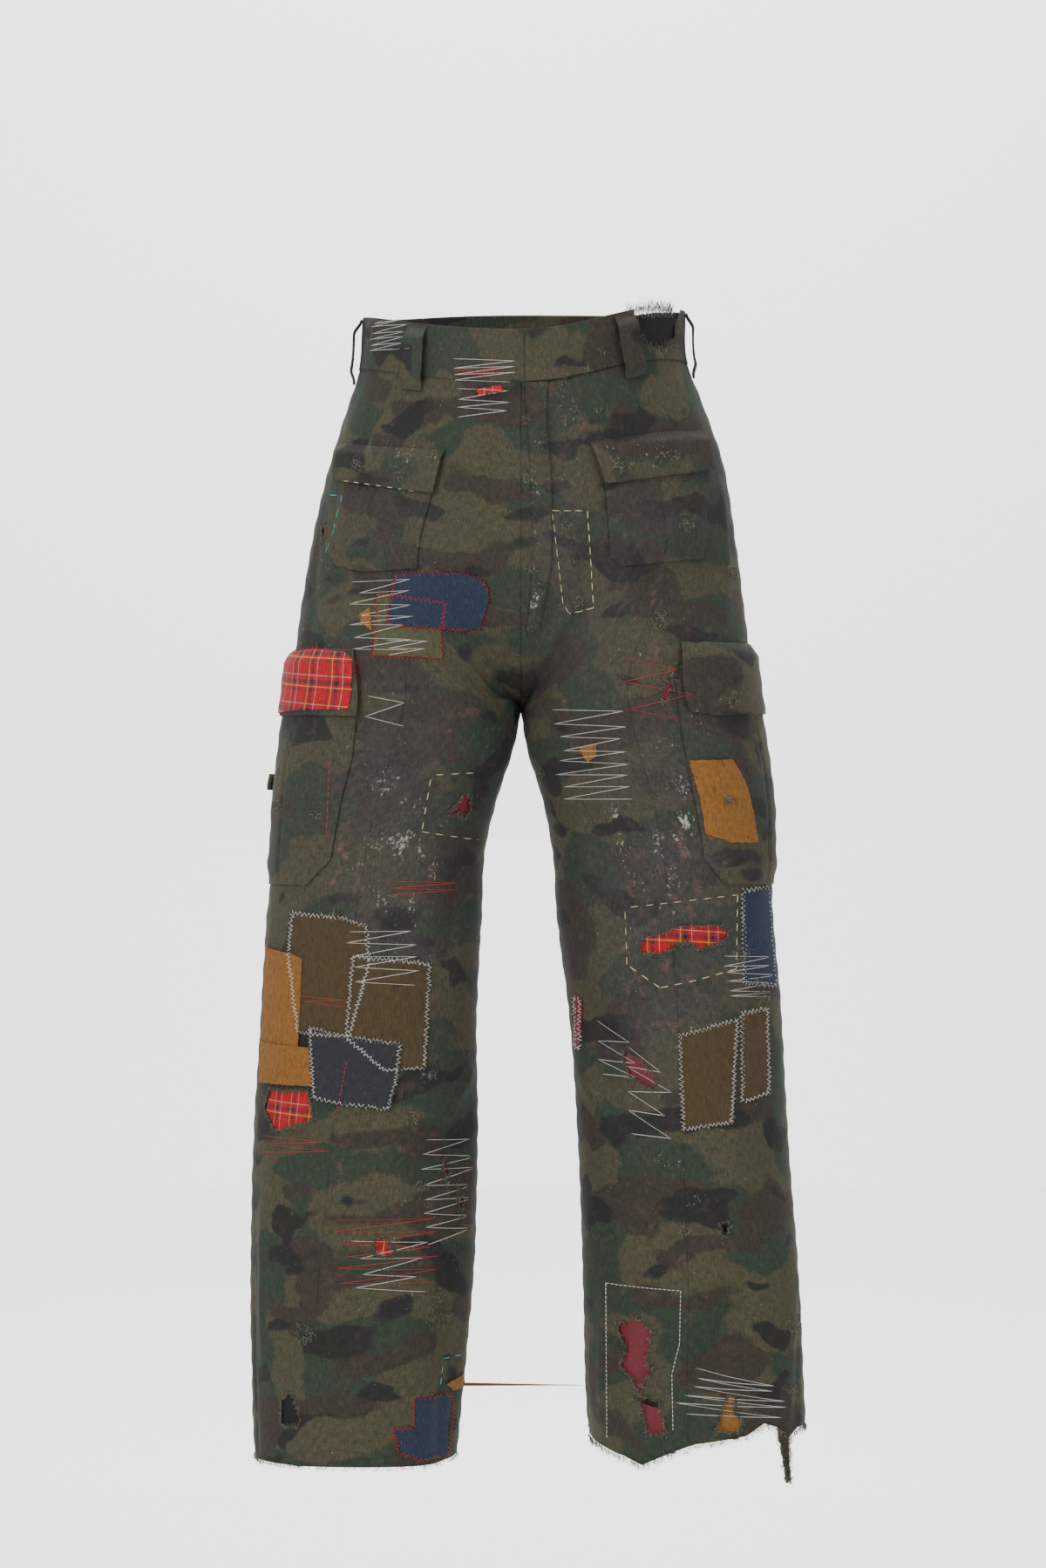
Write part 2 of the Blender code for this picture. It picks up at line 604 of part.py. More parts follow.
def make_loops(cloth):
    ends, steps = (33.0, -27.0), (27.0, 20.0, -14.0, -21.0)

    def stand(column, level):
        rise = smooth(ends[0], steps[1], level) * smooth(ends[1], steps[2], level)
        return BAND_STEP + SEAM_GAP + LOOP_CLOTH + (LOOP_STAND - SEAM_GAP) * rise

    for name, (column, lean) in BELT_LOOPS.items():
        point, _ = cloth.at(column, 0)
        beside, _ = cloth.at(column + 0.5, 0)
        half = LOOP_WIDTH / 2 / (np.linalg.norm(beside - point) / 0.5)
        low = column + lean
        outline = [(column - half, ends[0]), (column + half, ends[0]), (low + half, ends[1]),
                   (low - half, ends[1])]
        lines = [[(column - 1.5, level), (column + 1.5, level)] for level in steps]
        make_sheet(cloth, name, "camo_dark", outline, stand, LOOP_CLOTH, (), lines)


def bag_out(outline, pleat, bulge):
    """Swells a pocket bag from its sewn edges, with a groove along its pleat."""

    def out(column, level):
        spot = to_flat((column, level))
        swell = bulge * smooth(0, 24 * MM, distance_to_rim((column, level), outline))
        near = min(distance_to_line(spot, to_flat(a), to_flat(b)) for a, b in zip(pleat, pleat[1:]))
        swell -= PLEAT_DEPTH * max(0, 1 - near / PLEAT_HALF)
        return SEAM_GAP + CLOTH + max(swell, 0)

    return out


def bag_lines(outline, pleat):
    half = PLEAT_HALF / FLAT_PITCH
    ring = shrink(outline, 0.72)
    return [ring + ring[:1], pleat, shifted(pleat, -half), shifted(pleat, half)]


def make_bag(cloth, name, outline, pleat, bulge):
    make_sheet(cloth, name, "camo", outline, bag_out(outline, pleat, bulge), CLOTH, (),
               bag_lines(outline, pleat))


def level_flap_out(top, rise):
    """Lifts a flap with a level top edge evenly over its first few millimetres."""

    def out(column, level):
        return SEAM_GAP + CLOTH + rise * min(max((top - level) / FLAP_TURN, 0), 1)

    return out


def make_pockets(cloth):
    rise, cargo_rise = (CLOTH + bulge + 3 * SEAM_GAP for bulge in (BAG_BULGE, CARGO_BULGE))
    for word in ("right", "left"):
        bag, flap, pleat = (places(table[word]) for table in (HIP_BAGS, HIP_FLAPS, HIP_PLEATS))
        make_bag(cloth, f"hip_pocket_{word}", bag, pleat, BAG_BULGE)
        turn = [(c, z - 10) for c, z in flap[:2]]
        make_sheet(cloth, f"hip_flap_{word}", "camo", flap, flap_line_out(flap, rise), CLOTH, (), [turn])
        bag, flap = list(CARGO_BAGS[word]), list(CARGO_FLAPS[word])
        make_bag(cloth, f"cargo_pocket_{word}", bag, list(CARGO_PLEATS[word]), CARGO_BULGE)
        top, sign = flap[0][1], math.copysign(1, flap[0][0])
        turn = [(sign * 6, top - FLAP_TURN), (sign * 16, top - FLAP_TURN)]
        out = level_flap_out(top, cargo_rise)
        make_sheet(cloth, f"cargo_flap_{word}", "camo", flap, out, CLOTH, (), [turn])
        if word == "right":
            make_sheet(cloth, "patch_tartan_flap", "tartan", list(TARTAN_FLAP),
                       lambda c, z: out(c, z) + LAYER, PATCH_CLOTH, (), [turn])
    bag, pleat = list(CARGO_BAGS["left"]), list(CARGO_PLEATS["left"])
    below = bag_out(bag, pleat, CARGO_BULGE)
    make_sheet(cloth, "patch_mustard_cargo", "mustard", list(MUSTARD_CARGO),
               lambda c, z: below(c, z) + LAYER + 2 * SEAM_GAP, PATCH_CLOTH, (), bag_lines(bag, pleat))
    out = SEAM_GAP + CLOTH + CARGO_BULGE + 2 * SEAM_GAP + TAB_CLOTH
    make_sheet(cloth, "cargo_tab_right", "camo_dark", list(CARGO_TAB), out, TAB_CLOTH)


def flap_line_out(flap, rise):
    """Lifts a flap off its slanting top edge, which runs between its first two corners."""
    a, b = to_flat(flap[0]), to_flat(flap[1])

    def out(column, level):
        apart = distance_to_line(to_flat((column, level)), a, b)
        return SEAM_GAP + CLOTH + rise * min(apart / (10 * MM), 1)

    return out


def make_patches(cloth):
    for patch in PATCHES:
        out = SEAM_GAP + PATCH_CLOTH + patch.under * LAYER
        make_sheet(cloth, patch.name, patch.colour, places(patch.corners), out, PATCH_CLOTH)
    for backing in BACKINGS:
        outline = shrink(places(HOLES[backing.hole]), backing.reach)
        make_sheet(cloth, backing.name, backing.colour, outline, -CLOTH - SEAM_GAP, PATCH_CLOTH)
    make_sheet(cloth, "hem_tail_left", "camo", list(HEM_TAIL), 0, CLOTH)


def main():
    clear_scene()
    cloth = Cloth()
    make_panels(cloth)
    make_band(cloth)
    make_loops(cloth)
    make_pockets(cloth)
    make_patches(cloth)


main()
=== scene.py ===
"""Patched camouflage cargo trousers, worn and hollow, in place of the packed solids.

The cloth follows one surface. A place on it is a column (0 at the centre front, 6 at the front
leg seam, 12 at the side seam, 24 at the centre back; minus on the wearer's right) and a level.
Tables are in millimetres as seen from the front; everything else is in metres.
"""

import math
import random
from collections import namedtuple

import bpy
import numpy as np
from bpy.props import FloatVectorProperty, PointerProperty
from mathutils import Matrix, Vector, noise
from mathutils.bvhtree import BVHTree
from mathutils.geometry import delaunay_2d_cdt


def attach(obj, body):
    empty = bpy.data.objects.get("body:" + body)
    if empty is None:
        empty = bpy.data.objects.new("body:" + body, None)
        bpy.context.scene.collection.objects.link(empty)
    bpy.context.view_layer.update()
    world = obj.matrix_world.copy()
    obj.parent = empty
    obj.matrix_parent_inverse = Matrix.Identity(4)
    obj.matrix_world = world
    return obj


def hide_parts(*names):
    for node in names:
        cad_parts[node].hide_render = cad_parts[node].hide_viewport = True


bl_info = {
    "name": "Patched cargo trousers",
    "version": (1, 0, 0),
    "blender": (4, 5, 0),
    "location": "View3D > Sidebar > Trousers",
    "description": "Builds the cloth, patches, darning and ragged edges of worn cargo trousers",
    "category": "Object",
}

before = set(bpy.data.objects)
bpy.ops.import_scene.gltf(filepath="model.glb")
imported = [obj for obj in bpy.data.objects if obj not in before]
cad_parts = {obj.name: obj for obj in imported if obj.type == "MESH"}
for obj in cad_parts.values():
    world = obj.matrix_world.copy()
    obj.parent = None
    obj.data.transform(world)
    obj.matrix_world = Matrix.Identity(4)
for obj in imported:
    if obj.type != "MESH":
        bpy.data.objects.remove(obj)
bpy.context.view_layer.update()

MM = 0.001
BAND_TOP, BAND_BOTTOM = 35, -13
CROTCH, HIP = -325 * MM, -175 * MM
LEVEL_FADE = -200 * MM
ROUND = 0.92
SEAM_COLUMN, SIDE_COLUMN, BACK_COLUMN = 6, 12, 24
FLAT_PITCH = 26 * MM
EDGE = 0.02 / 26
LAYER = 1.3 * MM
PANEL_WALL, BAND_WALL, PATCH_WALL, POCKET_WALL = 1.3 * MM, 2.2 * MM, 0.9 * MM, 1.2 * MM
BAND_LIFT, LAP_LIFT = 0.9 * MM, 2.7 * MM
BACKING_WALL, BACKING_DEPTH = 0.8 * MM, 1.9 * MM
SHORTEST_LENGTH, SHORTEST_WIDTH, MOST_OF_AREA = 0.012, 0.0105, 1.4
STRAND_SIDES, TIP_SHARE = 3, 0.45
LONGEST_STEP = 9 * MM
FOLD_GAIN = 1.25
WRINKLE = 0.7 * MM
CENTRE_REACH = 2  # columns within which the right front is kept on its own side of the middle

Section = namedtuple("Section", "level right_outer right_inner left_outer left_inner front back")
SECTIONS = [Section(*row) for row in (
    (35, 146, 0, 151, 0, -109, 114),
    (-13, 150, 0, 154, 0, -112, 118),
    (-50, 161, 0, 168, 0, -115, 124),
    (-100, 177, 0, 186, 0, -119, 132),
    (-160, 191, 0, 197, 0, -121, 139),
    (-223, 202, 0, 205, 0, -119, 138),
    (-280, 210, 0, 212, 0, -114, 130),
    (-325, 215, 0, 217, 0, -108, 120),
    (-370, 221, 9, 224, 7, -103, 110),
    (-417, 226, 24, 230, 21, -98, 101),
    (-466, 229, 35, 231, 30, -94, 94),
    (-514, 235, 37, 233, 33, -90, 88),
    (-612, 241, 42, 241, 45, -84, 82),
    (-725, 248, 41, 247, 53, -80, 82),
    (-855, 251, 45, 257, 58, -76, 84),
    (-984, 249, 57, 263, 62, -74, 82),
    (-1050, 246, 63, 265, 69, -73, 80),
)]
FRONT_SEAM = {
    -1: ((-1050, 0.326), (-961, 0.320), (-865, 0.305), (-712, 0.288), (-520, 0.270), (-285, 0.243),
         (35, 0.235)),
    1: ((-1050, 0.233), (-880, 0.244), (-600, 0.251), (-520, 0.254), (-285, 0.233), (35, 0.225)),
}

# Folds and creases: a line between two (column, level) places, half-width and height.
Fold = namedtuple("Fold", "column level end_column end_level half height")
FOLDS = [Fold(*row) for row in (
    (2.6, -200, 0.3, -318, 26, -5), (4.6, -215, 1.2, -372, 30, 4), (-2.2, -222, -0.3, -316, 22, -3),
    (-4.4, -300, -1.0, -420, 34, 3), (1.3, -40, 1.7, -150, 20, -2), (-9.6, -52, -7.4, -150, 30, 3),
    (9.0, -60, 7.2, -170, 32, 3), (-2.2, -650, -5.0, -735, 28, 4), (-0.8, -700, -3.4, -770, 26, -4),
    (-8.6, -760, -8.2, -960, 30, 3), (-3.4, -850, -3.0, -1027, 34, 4), (-1.2, -900, -1.6, -1027, 26, -4),
    (8.2, -700, 8.0, -830, 28, 4), (7.6, -850, 5.8, -960, 26, -6), (4.2, -880, 3.6, -1020, 32, 4),
    (2.0, -590, 3.6, -700, 26, -4), (10.2, -840, 9.4, -1010, 30, 4), (23.2, -338, 17.0, -292, 30, -7),
    (22.8, -380, 16.0, -352, 30, 5), (-23.2, -338, -17.4, -296, 28, -6), (-22.6, -384, -16.4, -350, 30, 5),
    (14.0, -600, 21.0, -640, 30, -6), (20.0, -560, 15.0, -690, 28, 4), (-14.5, -612, -21.5, -650, 30, -6),
    (-20.4, -566, -15.4, -700, 28, 5), (18.0, -860, 19.0, -1020, 34, 5),
    (-18.4, -850, -17.6, -1020, 34, 5), (21.6, -900, 21.0, -1020, 24, -4),
    (-21.4, -890, -22.0, -1020, 24, -4),
)]
CREASES = [Fold(*row) for row in (
    (2.9, -228, 0.5, -330, 9, -3.0), (2.0, -236, 0.8, -296, 7, 2.0), (3.6, -262, 1.0, -352, 9, -1.8),
    (-2.4, -240, -0.4, -322, 8, -1.8), (-3.4, -270, -0.8, -372, 10, 1.8), (-2.0, -300, -0.6, -352, 7, -1.6),
    (1.35, -30, 1.25, -140, 6, -1.8), (0.55, -20, 0.5, -262, 5, 1.0), (2.2, -100, 1.9, -215, 9, 1.3),
    (-1.6, -60, -2.4, -170, 12, 1.6), (-0.9, -110, -1.4, -235, 8, -1.3), (8.4, -40, 7.2, -84, 8, -1.6),
    (-8.0, -36, -7.4, -90, 8, -1.5), (9.8, -130, 9.2, -260, 12, 1.8), (-10.2, -150, -9.6, -262, 12, -1.8),
    (5.2, -330, 5.0, -500, 10, 1.4), (3.4, -400, 3.8, -520, 11, -1.5), (-4.8, -380, -5.2, -500, 12, 1.5),
    (-2.2, -450, -2.8, -560, 10, -1.5), (2.4, -610, 4.4, -652, 9, -2.2), (1.2, -668, 3.4, -716, 9, 2.0),
    (4.6, -690, 3.0, -742, 9, -1.8), (-1.0, -668, -2.9, -700, 9, 2.0), (-3.2, -720, -1.2, -752, 9, -2.0),
    (-5.2, -742, -3.0, -770, 10, 1.6), (-7.8, -722, -10.4, -748, 10, -1.7), (9.4, -706, 8.2, -790, 9, -2.2),
    (7.7, -706, 7.6, -812, 8, 2.0), (7.9, -866, 6.2, -938, 9, -3.4), (8.7, -858, 7.0, -950, 8, 2.4),
    (5.2, -900, 4.2, -988, 10, -1.8), (2.6, -870, 2.2, -1000, 12, 2.0), (10.8, -880, 10.0, -1000, 9, -2.0),
    (-2.4, -860, -1.8, -1010, 9, -2.2), (-4.6, -880, -4.2, -1024, 11, 2.0), (-9.6, -800, -9.2, -930, 10, 1.8),
    (-10.8, -860, -10.4, -1010, 9, -1.8), (-6.8, -800, -7.0, -930, 8, -1.4),
    (22.6, -318, 18.0, -286, 10, -3.0), (23.0, -350, 17.6, -330, 10, 2.2), (21.8, -392, 16.8, -376, 12, -2.4),
    (-22.8, -322, -18.2, -290, 10, -3.0), (-23.0, -356, -17.2, -334, 10, 2.2),
    (-21.6, -398, -17.0, -372, 12, -2.2), (14.6, -586, 20.6, -612, 10, -3.0),
    (15.2, -640, 21.6, -668, 10, -2.6), (20.8, -584, 16.2, -640, 9, 2.4),
    (-14.8, -596, -21.0, -620, 10, -3.0),
    (-15.6, -650, -21.8, -676, 10, -2.4), (-20.6, -590, -16.6, -652, 9, 2.4),
    (17.0, -700, 18.6, -840, 12, 2.0), (-17.4, -706, -18.8, -850, 12, 2.0),
    (19.8, -880, 20.4, -1000, 10, -2.2),
    (-20.0, -880, -19.6, -1000, 10, -2.2), (15.2, -900, 15.6, -1000, 12, 1.8),
    (-15.0, -890, -15.4, -1000, 12, -1.8), (13.2, -140, 15.0, -240, 12, 1.8),
    (-13.2, -140, -15.4, -246, 12, 1.8),
    (19.0, -60, 20.5, -150, 14, -1.6), (-19.4, -70, -20.6, -160, 14, -1.6),
)]

# Holes through the cloth and the colour of what shows behind each.
HOLES = {
    "thigh_heart": ((-66, -423), (-60, -420), (-58, -416), (-53, -409), (-48, -412), (-48, -424), (-53, -433),
                    (-58, -427), (-65, -429)),
    "knee_tartan": ((-237, -700), (-232, -682), (-196, -682), (-190, -709), (-208, -714), (-226, -721)),
    "slit_high": ((-69, -743), (-64, -756), (-67, -779)),
    "slit_low": ((-59, -769), (-53, -784), (-57, -802)),
    "shin_tartan": ((-135, -818), (-127, -815), (-120, -822), (-116, -829), (-120, -835), (-134, -832)),
    "hem_black": ((-220, -967), (-212, -960), (-208, -966), (-202, -985), (-205, -991), (-221, -991)),
    "thigh_diamond": ((133, -303), (139, -309), (137, -319), (131, -328), (127, -319)),
    "knee_slot": ((108, -546), (115, -540), (132, -536), (142, -531), (179, -529), (191, -537), (184, -545),
                  (171, -550), (162, -552), (152, -545), (144, -546), (130, -556), (109, -555)),
    "knee_crimson": ((92, -646), (109, -653), (124, -670), (122, -682), (99, -669), (94, -660)),
    "shin_crimson": ((89, -897), (98, -894), (105, -888), (113, -894), (124, -905), (119, -910), (116, -935),
                     (123, -936), (113, -950), (111, -962), (128, -966), (128, -972), (134, -997),
                     (117, -997),
                     (109, -960), (104, -946), (93, -935), (99, -920)),
    "shin_blue": ((182, -803), (190, -801), (188, -814), (183, -814)),
    "hem_mustard": ((189, -960), (197, -962), (195, -978), (205, -985), (198, -996), (178, -996)),
    "side_mustard": ((-186, -158), (-180, -162), (-181, -173), (-185, -178)),
}
WAIST_TEAR = ((104, 24), (100, 60), (160, 60), (143, 24), (142, 6), (127, -2), (114, 0), (104, 14))
Backing = namedtuple("Backing", "name hole reach cloth")
BACKINGS = [Backing(*row) for row in (
    ("backing_heart", "thigh_heart", 1.6, "crimson"),
    ("backing_knee_tartan", "knee_tartan", 1.25, "tartan"),
    ("backing_slit_high", "slit_high", 1.4, "crimson"),
    ("backing_slit_low", "slit_low", 1.4, "crimson"),
    ("backing_shin_tartan", "shin_tartan", 1.7, "tartan"),
    # The black behind the hem hole is painted shade: a dark sheet standing for the shaded inside of the leg,
    # not a lining.
    ("backing_hem_black", "hem_black", 1.45, "black"),
    ("backing_diamond", "thigh_diamond", 1.7, "crimson"),
    ("backing_knee_slot", "knee_slot", 1.25, "tartan"),
    ("backing_knee_crimson", "knee_crimson", 1.5, "crimson"),
    ("backing_shin_crimson", "shin_crimson", 1.3, "crimson"),
    ("backing_hem_mustard", "hem_mustard", 1.35, "mustard"),
    ("backing_side_mustard", "side_mustard", 1.6, "mustard"),
)]

# Patches: layers under each, its cloth, its corners, and the colour and kind of its edge stitch.
Patch = namedtuple("Patch", "name under cloth stitch corners")
PATCHES = [Patch(*row) for row in (
    ("patch_olive_thigh", 0, "olive", "red", ((-131, -226), (-70, -236), (-73, -287), (-136, -283))),
    ("patch_denim_thigh", 1, "denim", "red", (
        (-115, -209), (-57, -208), (-40, -212), (-31, -220), (-29, -233), (-37, -260), (-49, -261),
        (-106, -257), (-123, -253), (-120, -237))),
    ("scrap_mustard_thigh", 0, "mustard", "", ((-147, -245), (-138, -239), (-136, -261), (-146, -254))),
    ("patch_brown_knee_high", 0, "brown", "white", (
        (-210, -519), (-168, -522), (-142, -530), (-139, -564), (-158, -632), (-205, -628), (-214, -554))),
    ("patch_brown_knee", 1, "brown", "white", (
        (-154, -558), (-84, -565), (-89, -661), (-126, -662), (-160, -632))),
    ("patch_mustard_knee", 1, "mustard", "", (
        (-234, -551), (-210, -556), (-200, -561), (-204, -642), (-239, -640))),
    ("patch_mustard_low", 2, "mustard", "", (
        (-239, -638), (-192, -642), (-172, -646), (-173, -678), (-240, -676))),
    ("patch_navy_knee", 3, "navy", "white", (
        (-194, -624), (-168, -630), (-111, -639), (-115, -672), (-121, -698), (-164, -693), (-190, -688))),
    ("scrap_mustard_hem", 0, "mustard", "", ((-66, -955), (-54, -947), (-54, -959), (-60, -962))),
    ("patch_denim_hem", 0, "denim", "red", (
        (-99, -964), (-67, -964), (-63, -972), (-67, -1021), (-91, -1022), (-112, -1014), (-118, -991),
        (-99, -992))),
    ("scrap_mustard_left", 0, "mustard", "", ((53, -367), (69, -363), (69, -375), (61, -381))),
    ("patch_denim_knee", 0, "denim", "white", ((203, -498), (229, -496), (236, -587), (205, -583))),
    ("patch_brown_left", 0, "brown", "white", ((145, -631), (198, -616), (193, -710), (148, -717))),
    ("patch_brown_side", 0, "brown", "white", ((202, -611), (226, -607), (228, -684), (203, -692))),
    ("strip_red_inner", 0, "crimson", "white", ((49, -597), (54, -600), (54, -646), (49, -643))),
)]
HIP_BAGS = {
    "right": ((-161, -104), (-80, -112), (-80, -132), (-94, -204), (-143, -207), (-171, -200)),
    "left": ((73, -104), (164, -94), (169, -180), (166, -194), (92, -202), (80, -194)),
}
HIP_FLAPS = {
    "right": ((-163, -88), (-69, -96), (-79, -136), (-129, -129), (-166, -123)),
    "left": ((62, -89), (162, -77), (170, -114), (75, -128)),
}
HIP_PLEATS = {
    "right": ((-130, -128), (-136, -151), (-139, -204)),
    "left": ((124, -122), (131, -167), (130, -196)),
}
CARGO_BAGS = {
    "right": ((-7.6, -292), (-7.2, -377), (-7.3, -470), (-8.2, -493), (-13.6, -494), (-14.2, -476),
              (-14.2, -292)),
    "left": ((7.4, -292), (7.2, -410), (7.3, -469), (8.0, -492), (13.6, -494), (14.2, -476), (14.2, -292)),
}
CARGO_FLAPS = {
    "right": ((-7.5, -277), (-7.3, -338), (-14.5, -338), (-14.4, -277)),
    "left": ((7.3, -271), (7.6, -334), (8.4, -338), (14.5, -336), (14.4, -271)),
}
CARGO_PLEATS = {
    "right": ((-9.8, -340), (-10.2, -380), (-10.0, -490)),
    "left": ((10.4, -340), (10.6, -380), (10.5, -490)),
}
CARGO_TAB = ((-12.6, -392), (-12.0, -392), (-12.0, -407), (-12.6, -407))
TARTAN_FLAP = ((-9.3, -277), (-7.8, -281), (-7.5, -288), (-7.6, -332), (-12.3, -336), (-12.2, -279))
MUSTARD_CARGO = ((7.3, -379), (8.8, -378), (9.2, -400), (9.6, -454), (8.3, -454), (7.4, -446))
WAIST_TARTAN = ((-41, -41), (-18, -37), (-16, -43), (-38, -47))
FLY = ((3, -22), (24, -24), (23, -60), (28, -130), (27, -205), (17, -258), (5, -266), (11, -190), (8, -100))
HEM_FRONT = {
    -1: ((0, -1022), (2, -1027), (6, -1027), (10, -1025), (12, -1022)),
    1: ((0, -1004), (1.6, -1009), (3.4, -1018), (4.2, -1026), (5.0, -1018), (6.2, -1006), (7.8, -999),
        (8.5, -988), (9.0, -992), (9.6, -1003), (10.4, -994), (12, -994)),
}
HEM_BACK = {-1: -1022, 1: -996}
HEM_TAIL = ((9.0, -992.4), (9.6, -1003.4), (9.8, -1043), (9.55, -1044))
BELT_LOOPS = {
    "loop_front_right": (-5.45, 0.0), "loop_front_left": (5.35, 0.45), "loop_side_right": (-11.75, 0.0),
    "loop_side_left": (11.8, 0.0), "loop_back_right": (-18.2, 0.0), "loop_back_left": (18.2, 0.0),
    "loop_back_centre": (24.0, 0.0),
}

# Stains and wear on the cloth: kind (soot, scuff or pink), middle, half-width, half-height, strength.
Mark = namedtuple("Mark", "kind x z wide high strength")
MARKS = [Mark(*row) for row in (
    ("soot", -120, -420, 70, 130, 1.0), ("soot", 130, -430, 70, 140, 1.0), ("soot", -120, -560, 60, 60, 0.7),
    ("soot", 140, -590, 60, 90, 0.9), ("soot", -120, -160, 60, 50, 0.6), ("soot", 120, -150, 60, 50, 0.6),
    ("soot", 30, -150, 25, 110, 0.7), ("soot", 60, -240, 60, 60, 0.6), ("soot", -60, 0, 60, 40, 0.4),
    ("scuff", -120, -450, 26, 90, 0.7), ("scuff", -95, -480, 30, 60, 0.6), ("scuff", 110, -500, 24, 60, 0.7),
    ("scuff", 145, -420, 26, 90, 0.6), ("scuff", -105, -100, 30, 14, 0.9), ("scuff", 105, -100, 34, 12, 0.9),
    ("scuff", 10, -250, 12, 22, 1.3), ("scuff", 12, -150, 8, 100, 0.7), ("scuff", 90, -430, 8, 30, 1.3),
    ("scuff", 150, -440, 10, 20, 1.1), ("scuff", -120, -670, 40, 20, 0.7),
    ("scuff", -100, -830, 40, 60, 0.35),
    ("scuff", 140, -760, 50, 60, 0.35), ("scuff", 40, -60, 20, 40, 0.4), ("scuff", 125, -300, 40, 50, 0.4),
    ("scuff", -135, 5, 20, 14, 0.8), ("scuff", 155, -640, 20, 40, 0.5), ("scuff", -190, -240, 20, 80, 0.3),
    ("pink", 150, -470, 40, 60, 0.9), ("pink", -170, -470, 22, 40, 0.8), ("pink", -90, -476, 14, 10, 0.9),
    ("pink", 110, -260, 50, 60, 0.5), ("pink", -190, -300, 30, 40, 0.4), ("pink", 60, -100, 30, 60, 0.4),
    ("pink", -110, -600, 50, 60, 0.6), ("pink", 120, -590, 40, 60, 0.6), ("pink", -130, -760, 60, 80, 0.35),
    ("pink", 130, -860, 60, 80, 0.3), ("pink", -60, -330, 40, 60, 0.4), ("pink", 30, -40, 30, 20, 0.5),
)]

# Darning: long threads to and fro between two sides, working down.
Darn = namedtuple("Darn", "thread left top right bottom passes slant jitter")
DARNS = [Darn(*row) for row in (
    ("white", -60, -14, -8, -36, 7, 5, 3), ("white", -58, -42, -12, -66, 6, 4, 2),
    ("red", -61, -22, -14, -28, 5, 1, 2), ("white", -138, 30, -104, -4, 13, 3, 3),
    ("white", -152, -214, -104, -282, 13, 8, 5), ("white", 34, -334, 96, -420, 15, 9, 6),
    ("white", -155, -534, -98, -586, 9, 6, 5), ("white", -88, -728, -44, -822, 14, 9, 5),
    ("red", -168, -800, -80, -862, 11, 9, 7), ("white", -150, -820, -92, -870, 7, 10, 7),
    ("red", -118, -490, -58, -500, 4, 3, 2), ("white", 74, -620, 104, -668, 6, -22, 5),
    ("white", 100, -640, 132, -722, 8, -26, 6), ("white", 190, -560, 236, -600, 11, 5, 7),
    ("white", 152, -938, 238, -978, 10, -20, 10), ("red", -202, -596, -162, -604, 3, 2, 2),
    ("red", 100, -286, 148, -344, 5, 4, 10), ("red", -238, -726, -178, -742, 4, 2, 3),
    ("white", -142, -322, -104, -350, 3, 8, 4), ("white", -122, -270, -86, -282, 4, 5, 3),
)]
# Running stitches: thread, stitch and gap lengths, then the line's corners.
Run = namedtuple("Run", "thread stitch gap corners")
RUNS = [Run(*row) for row in (
    ("cream", 7, 4, ((28, -152), (60, -152), (66, -240), (44, -245), (38, -236), (28, -152))),
    ("cream", 7, 6, ((-78, -392), (-40, -390))), ("cream", 7, 6, ((-83, -396), (-91, -444), (-40, -452))),
    ("cream", 7, 6, ((100, -513), (198, -502), (197, -570), (160, -580), (127, -587), (97, -566),
    (95, -514))),
    ("cyan", 6, 6, ((-176, -134), (-164, -136), (-168, -150), (-172, -166), (-178, -182), (-184, -195))),
    ("cyan", 6, 4, ((-72, -930), (-52, -929))), ("cyan", 6, 4, ((-73, -938), (-75, -957))),
    ("white", 3, 1, ((78, -860), (146, -865), (145, -914), (138, -942), (139, -993))),
    ("white", 3, 1, ((78, -860), (79, -1003))), ("red", 5, 2, ((-175, -380), (-178, -448))),
    ("red", 3, 1, ((-160, -655), (-166, -688), (-171, -704))), ("cream", 5, 5, ((-98, -134), (-166, -122))),
)]

# Small frays and nicks in the cloth: middle, reach and how many fibres.
Nick = namedtuple("Nick", "x z reach count")
NICKS = [Nick(*row) for row in (
    (-100, -708, 6, 60), (-82, -666, 4, 30), (126, -744, 5, 40), (125, -252, 8, 90), (196, -205, 6, 60),
    (-198, -905, 9, 90), (-78, -890, 10, 120), (-75, -870, 6, 60), (254, -900, 10, 120), (252, -960, 6, 60),
    (42, -165, 4, 60), (47, -200, 4, 60), (52, -234, 5, 70), (36, -122, 4, 50), (5, -70, 4, 40),
    (8, -120, 5, 60), (10, -205, 5, 60), (60, -22, 3, 20), (74, -6, 3, 20), (48, -60, 4, 30),
    (70, -60, 4, 26),
    (-150, -110, 6, 50), (-110, -118, 6, 50), (90, -112, 6, 50), (140, -100, 6, 50), (152, -162, 7, 80),
    (-230, -390, 6, 60), (-226, -420, 6, 60), (193, -322, 8, 90), (188, -415, 5, 40), (20, -392, 3, 20),
    (134, -402, 4, 30), (-14, -440, 3, 16), (204, -555, 8, 100), (222, -594, 8, 120), (216, -585, 8, 80),
    (-170, -520, 4, 30), (-186, -430, 4, 24), (150, -810, 5, 40), (186, -808, 7, 70), (-90, -770, 5, 40),
)]

COLOURS = {
    "olive": (0.040, 0.039, 0.018), "mustard": (0.135, 0.056, 0.008), "brown": (0.034, 0.022, 0.008),
    # Black also serves as painted shade: the sheet behind the hem hole stands for the dark inside of the leg.
    "navy": (0.011, 0.011, 0.014), "crimson": (0.075, 0.0015, 0.006), "black": (0.004, 0.004, 0.004),
    "denim": (0.007, 0.0115, 0.026),
}
THREADS = {
    "white": (0.56, 0.55, 0.52), "red": (0.34, 0.008, 0.014), "cream": (0.52, 0.44, 0.20),
    "cyan": (0.03, 0.33, 0.40), "fray": (0.045, 0.044, 0.027), "pale": (0.12, 0.115, 0.085),
}
draw = random.Random(7)
built = {"points": [], "faces": [], "count": 0}
strands = {name: ([], []) for name in THREADS}


def smooth(start, end, value):
    """Eases from 0 to 1 as a value goes from start to end."""
    t = np.clip((value - start) / (end - start), 0, 1)
    return t * t * (3 - 2 * t)


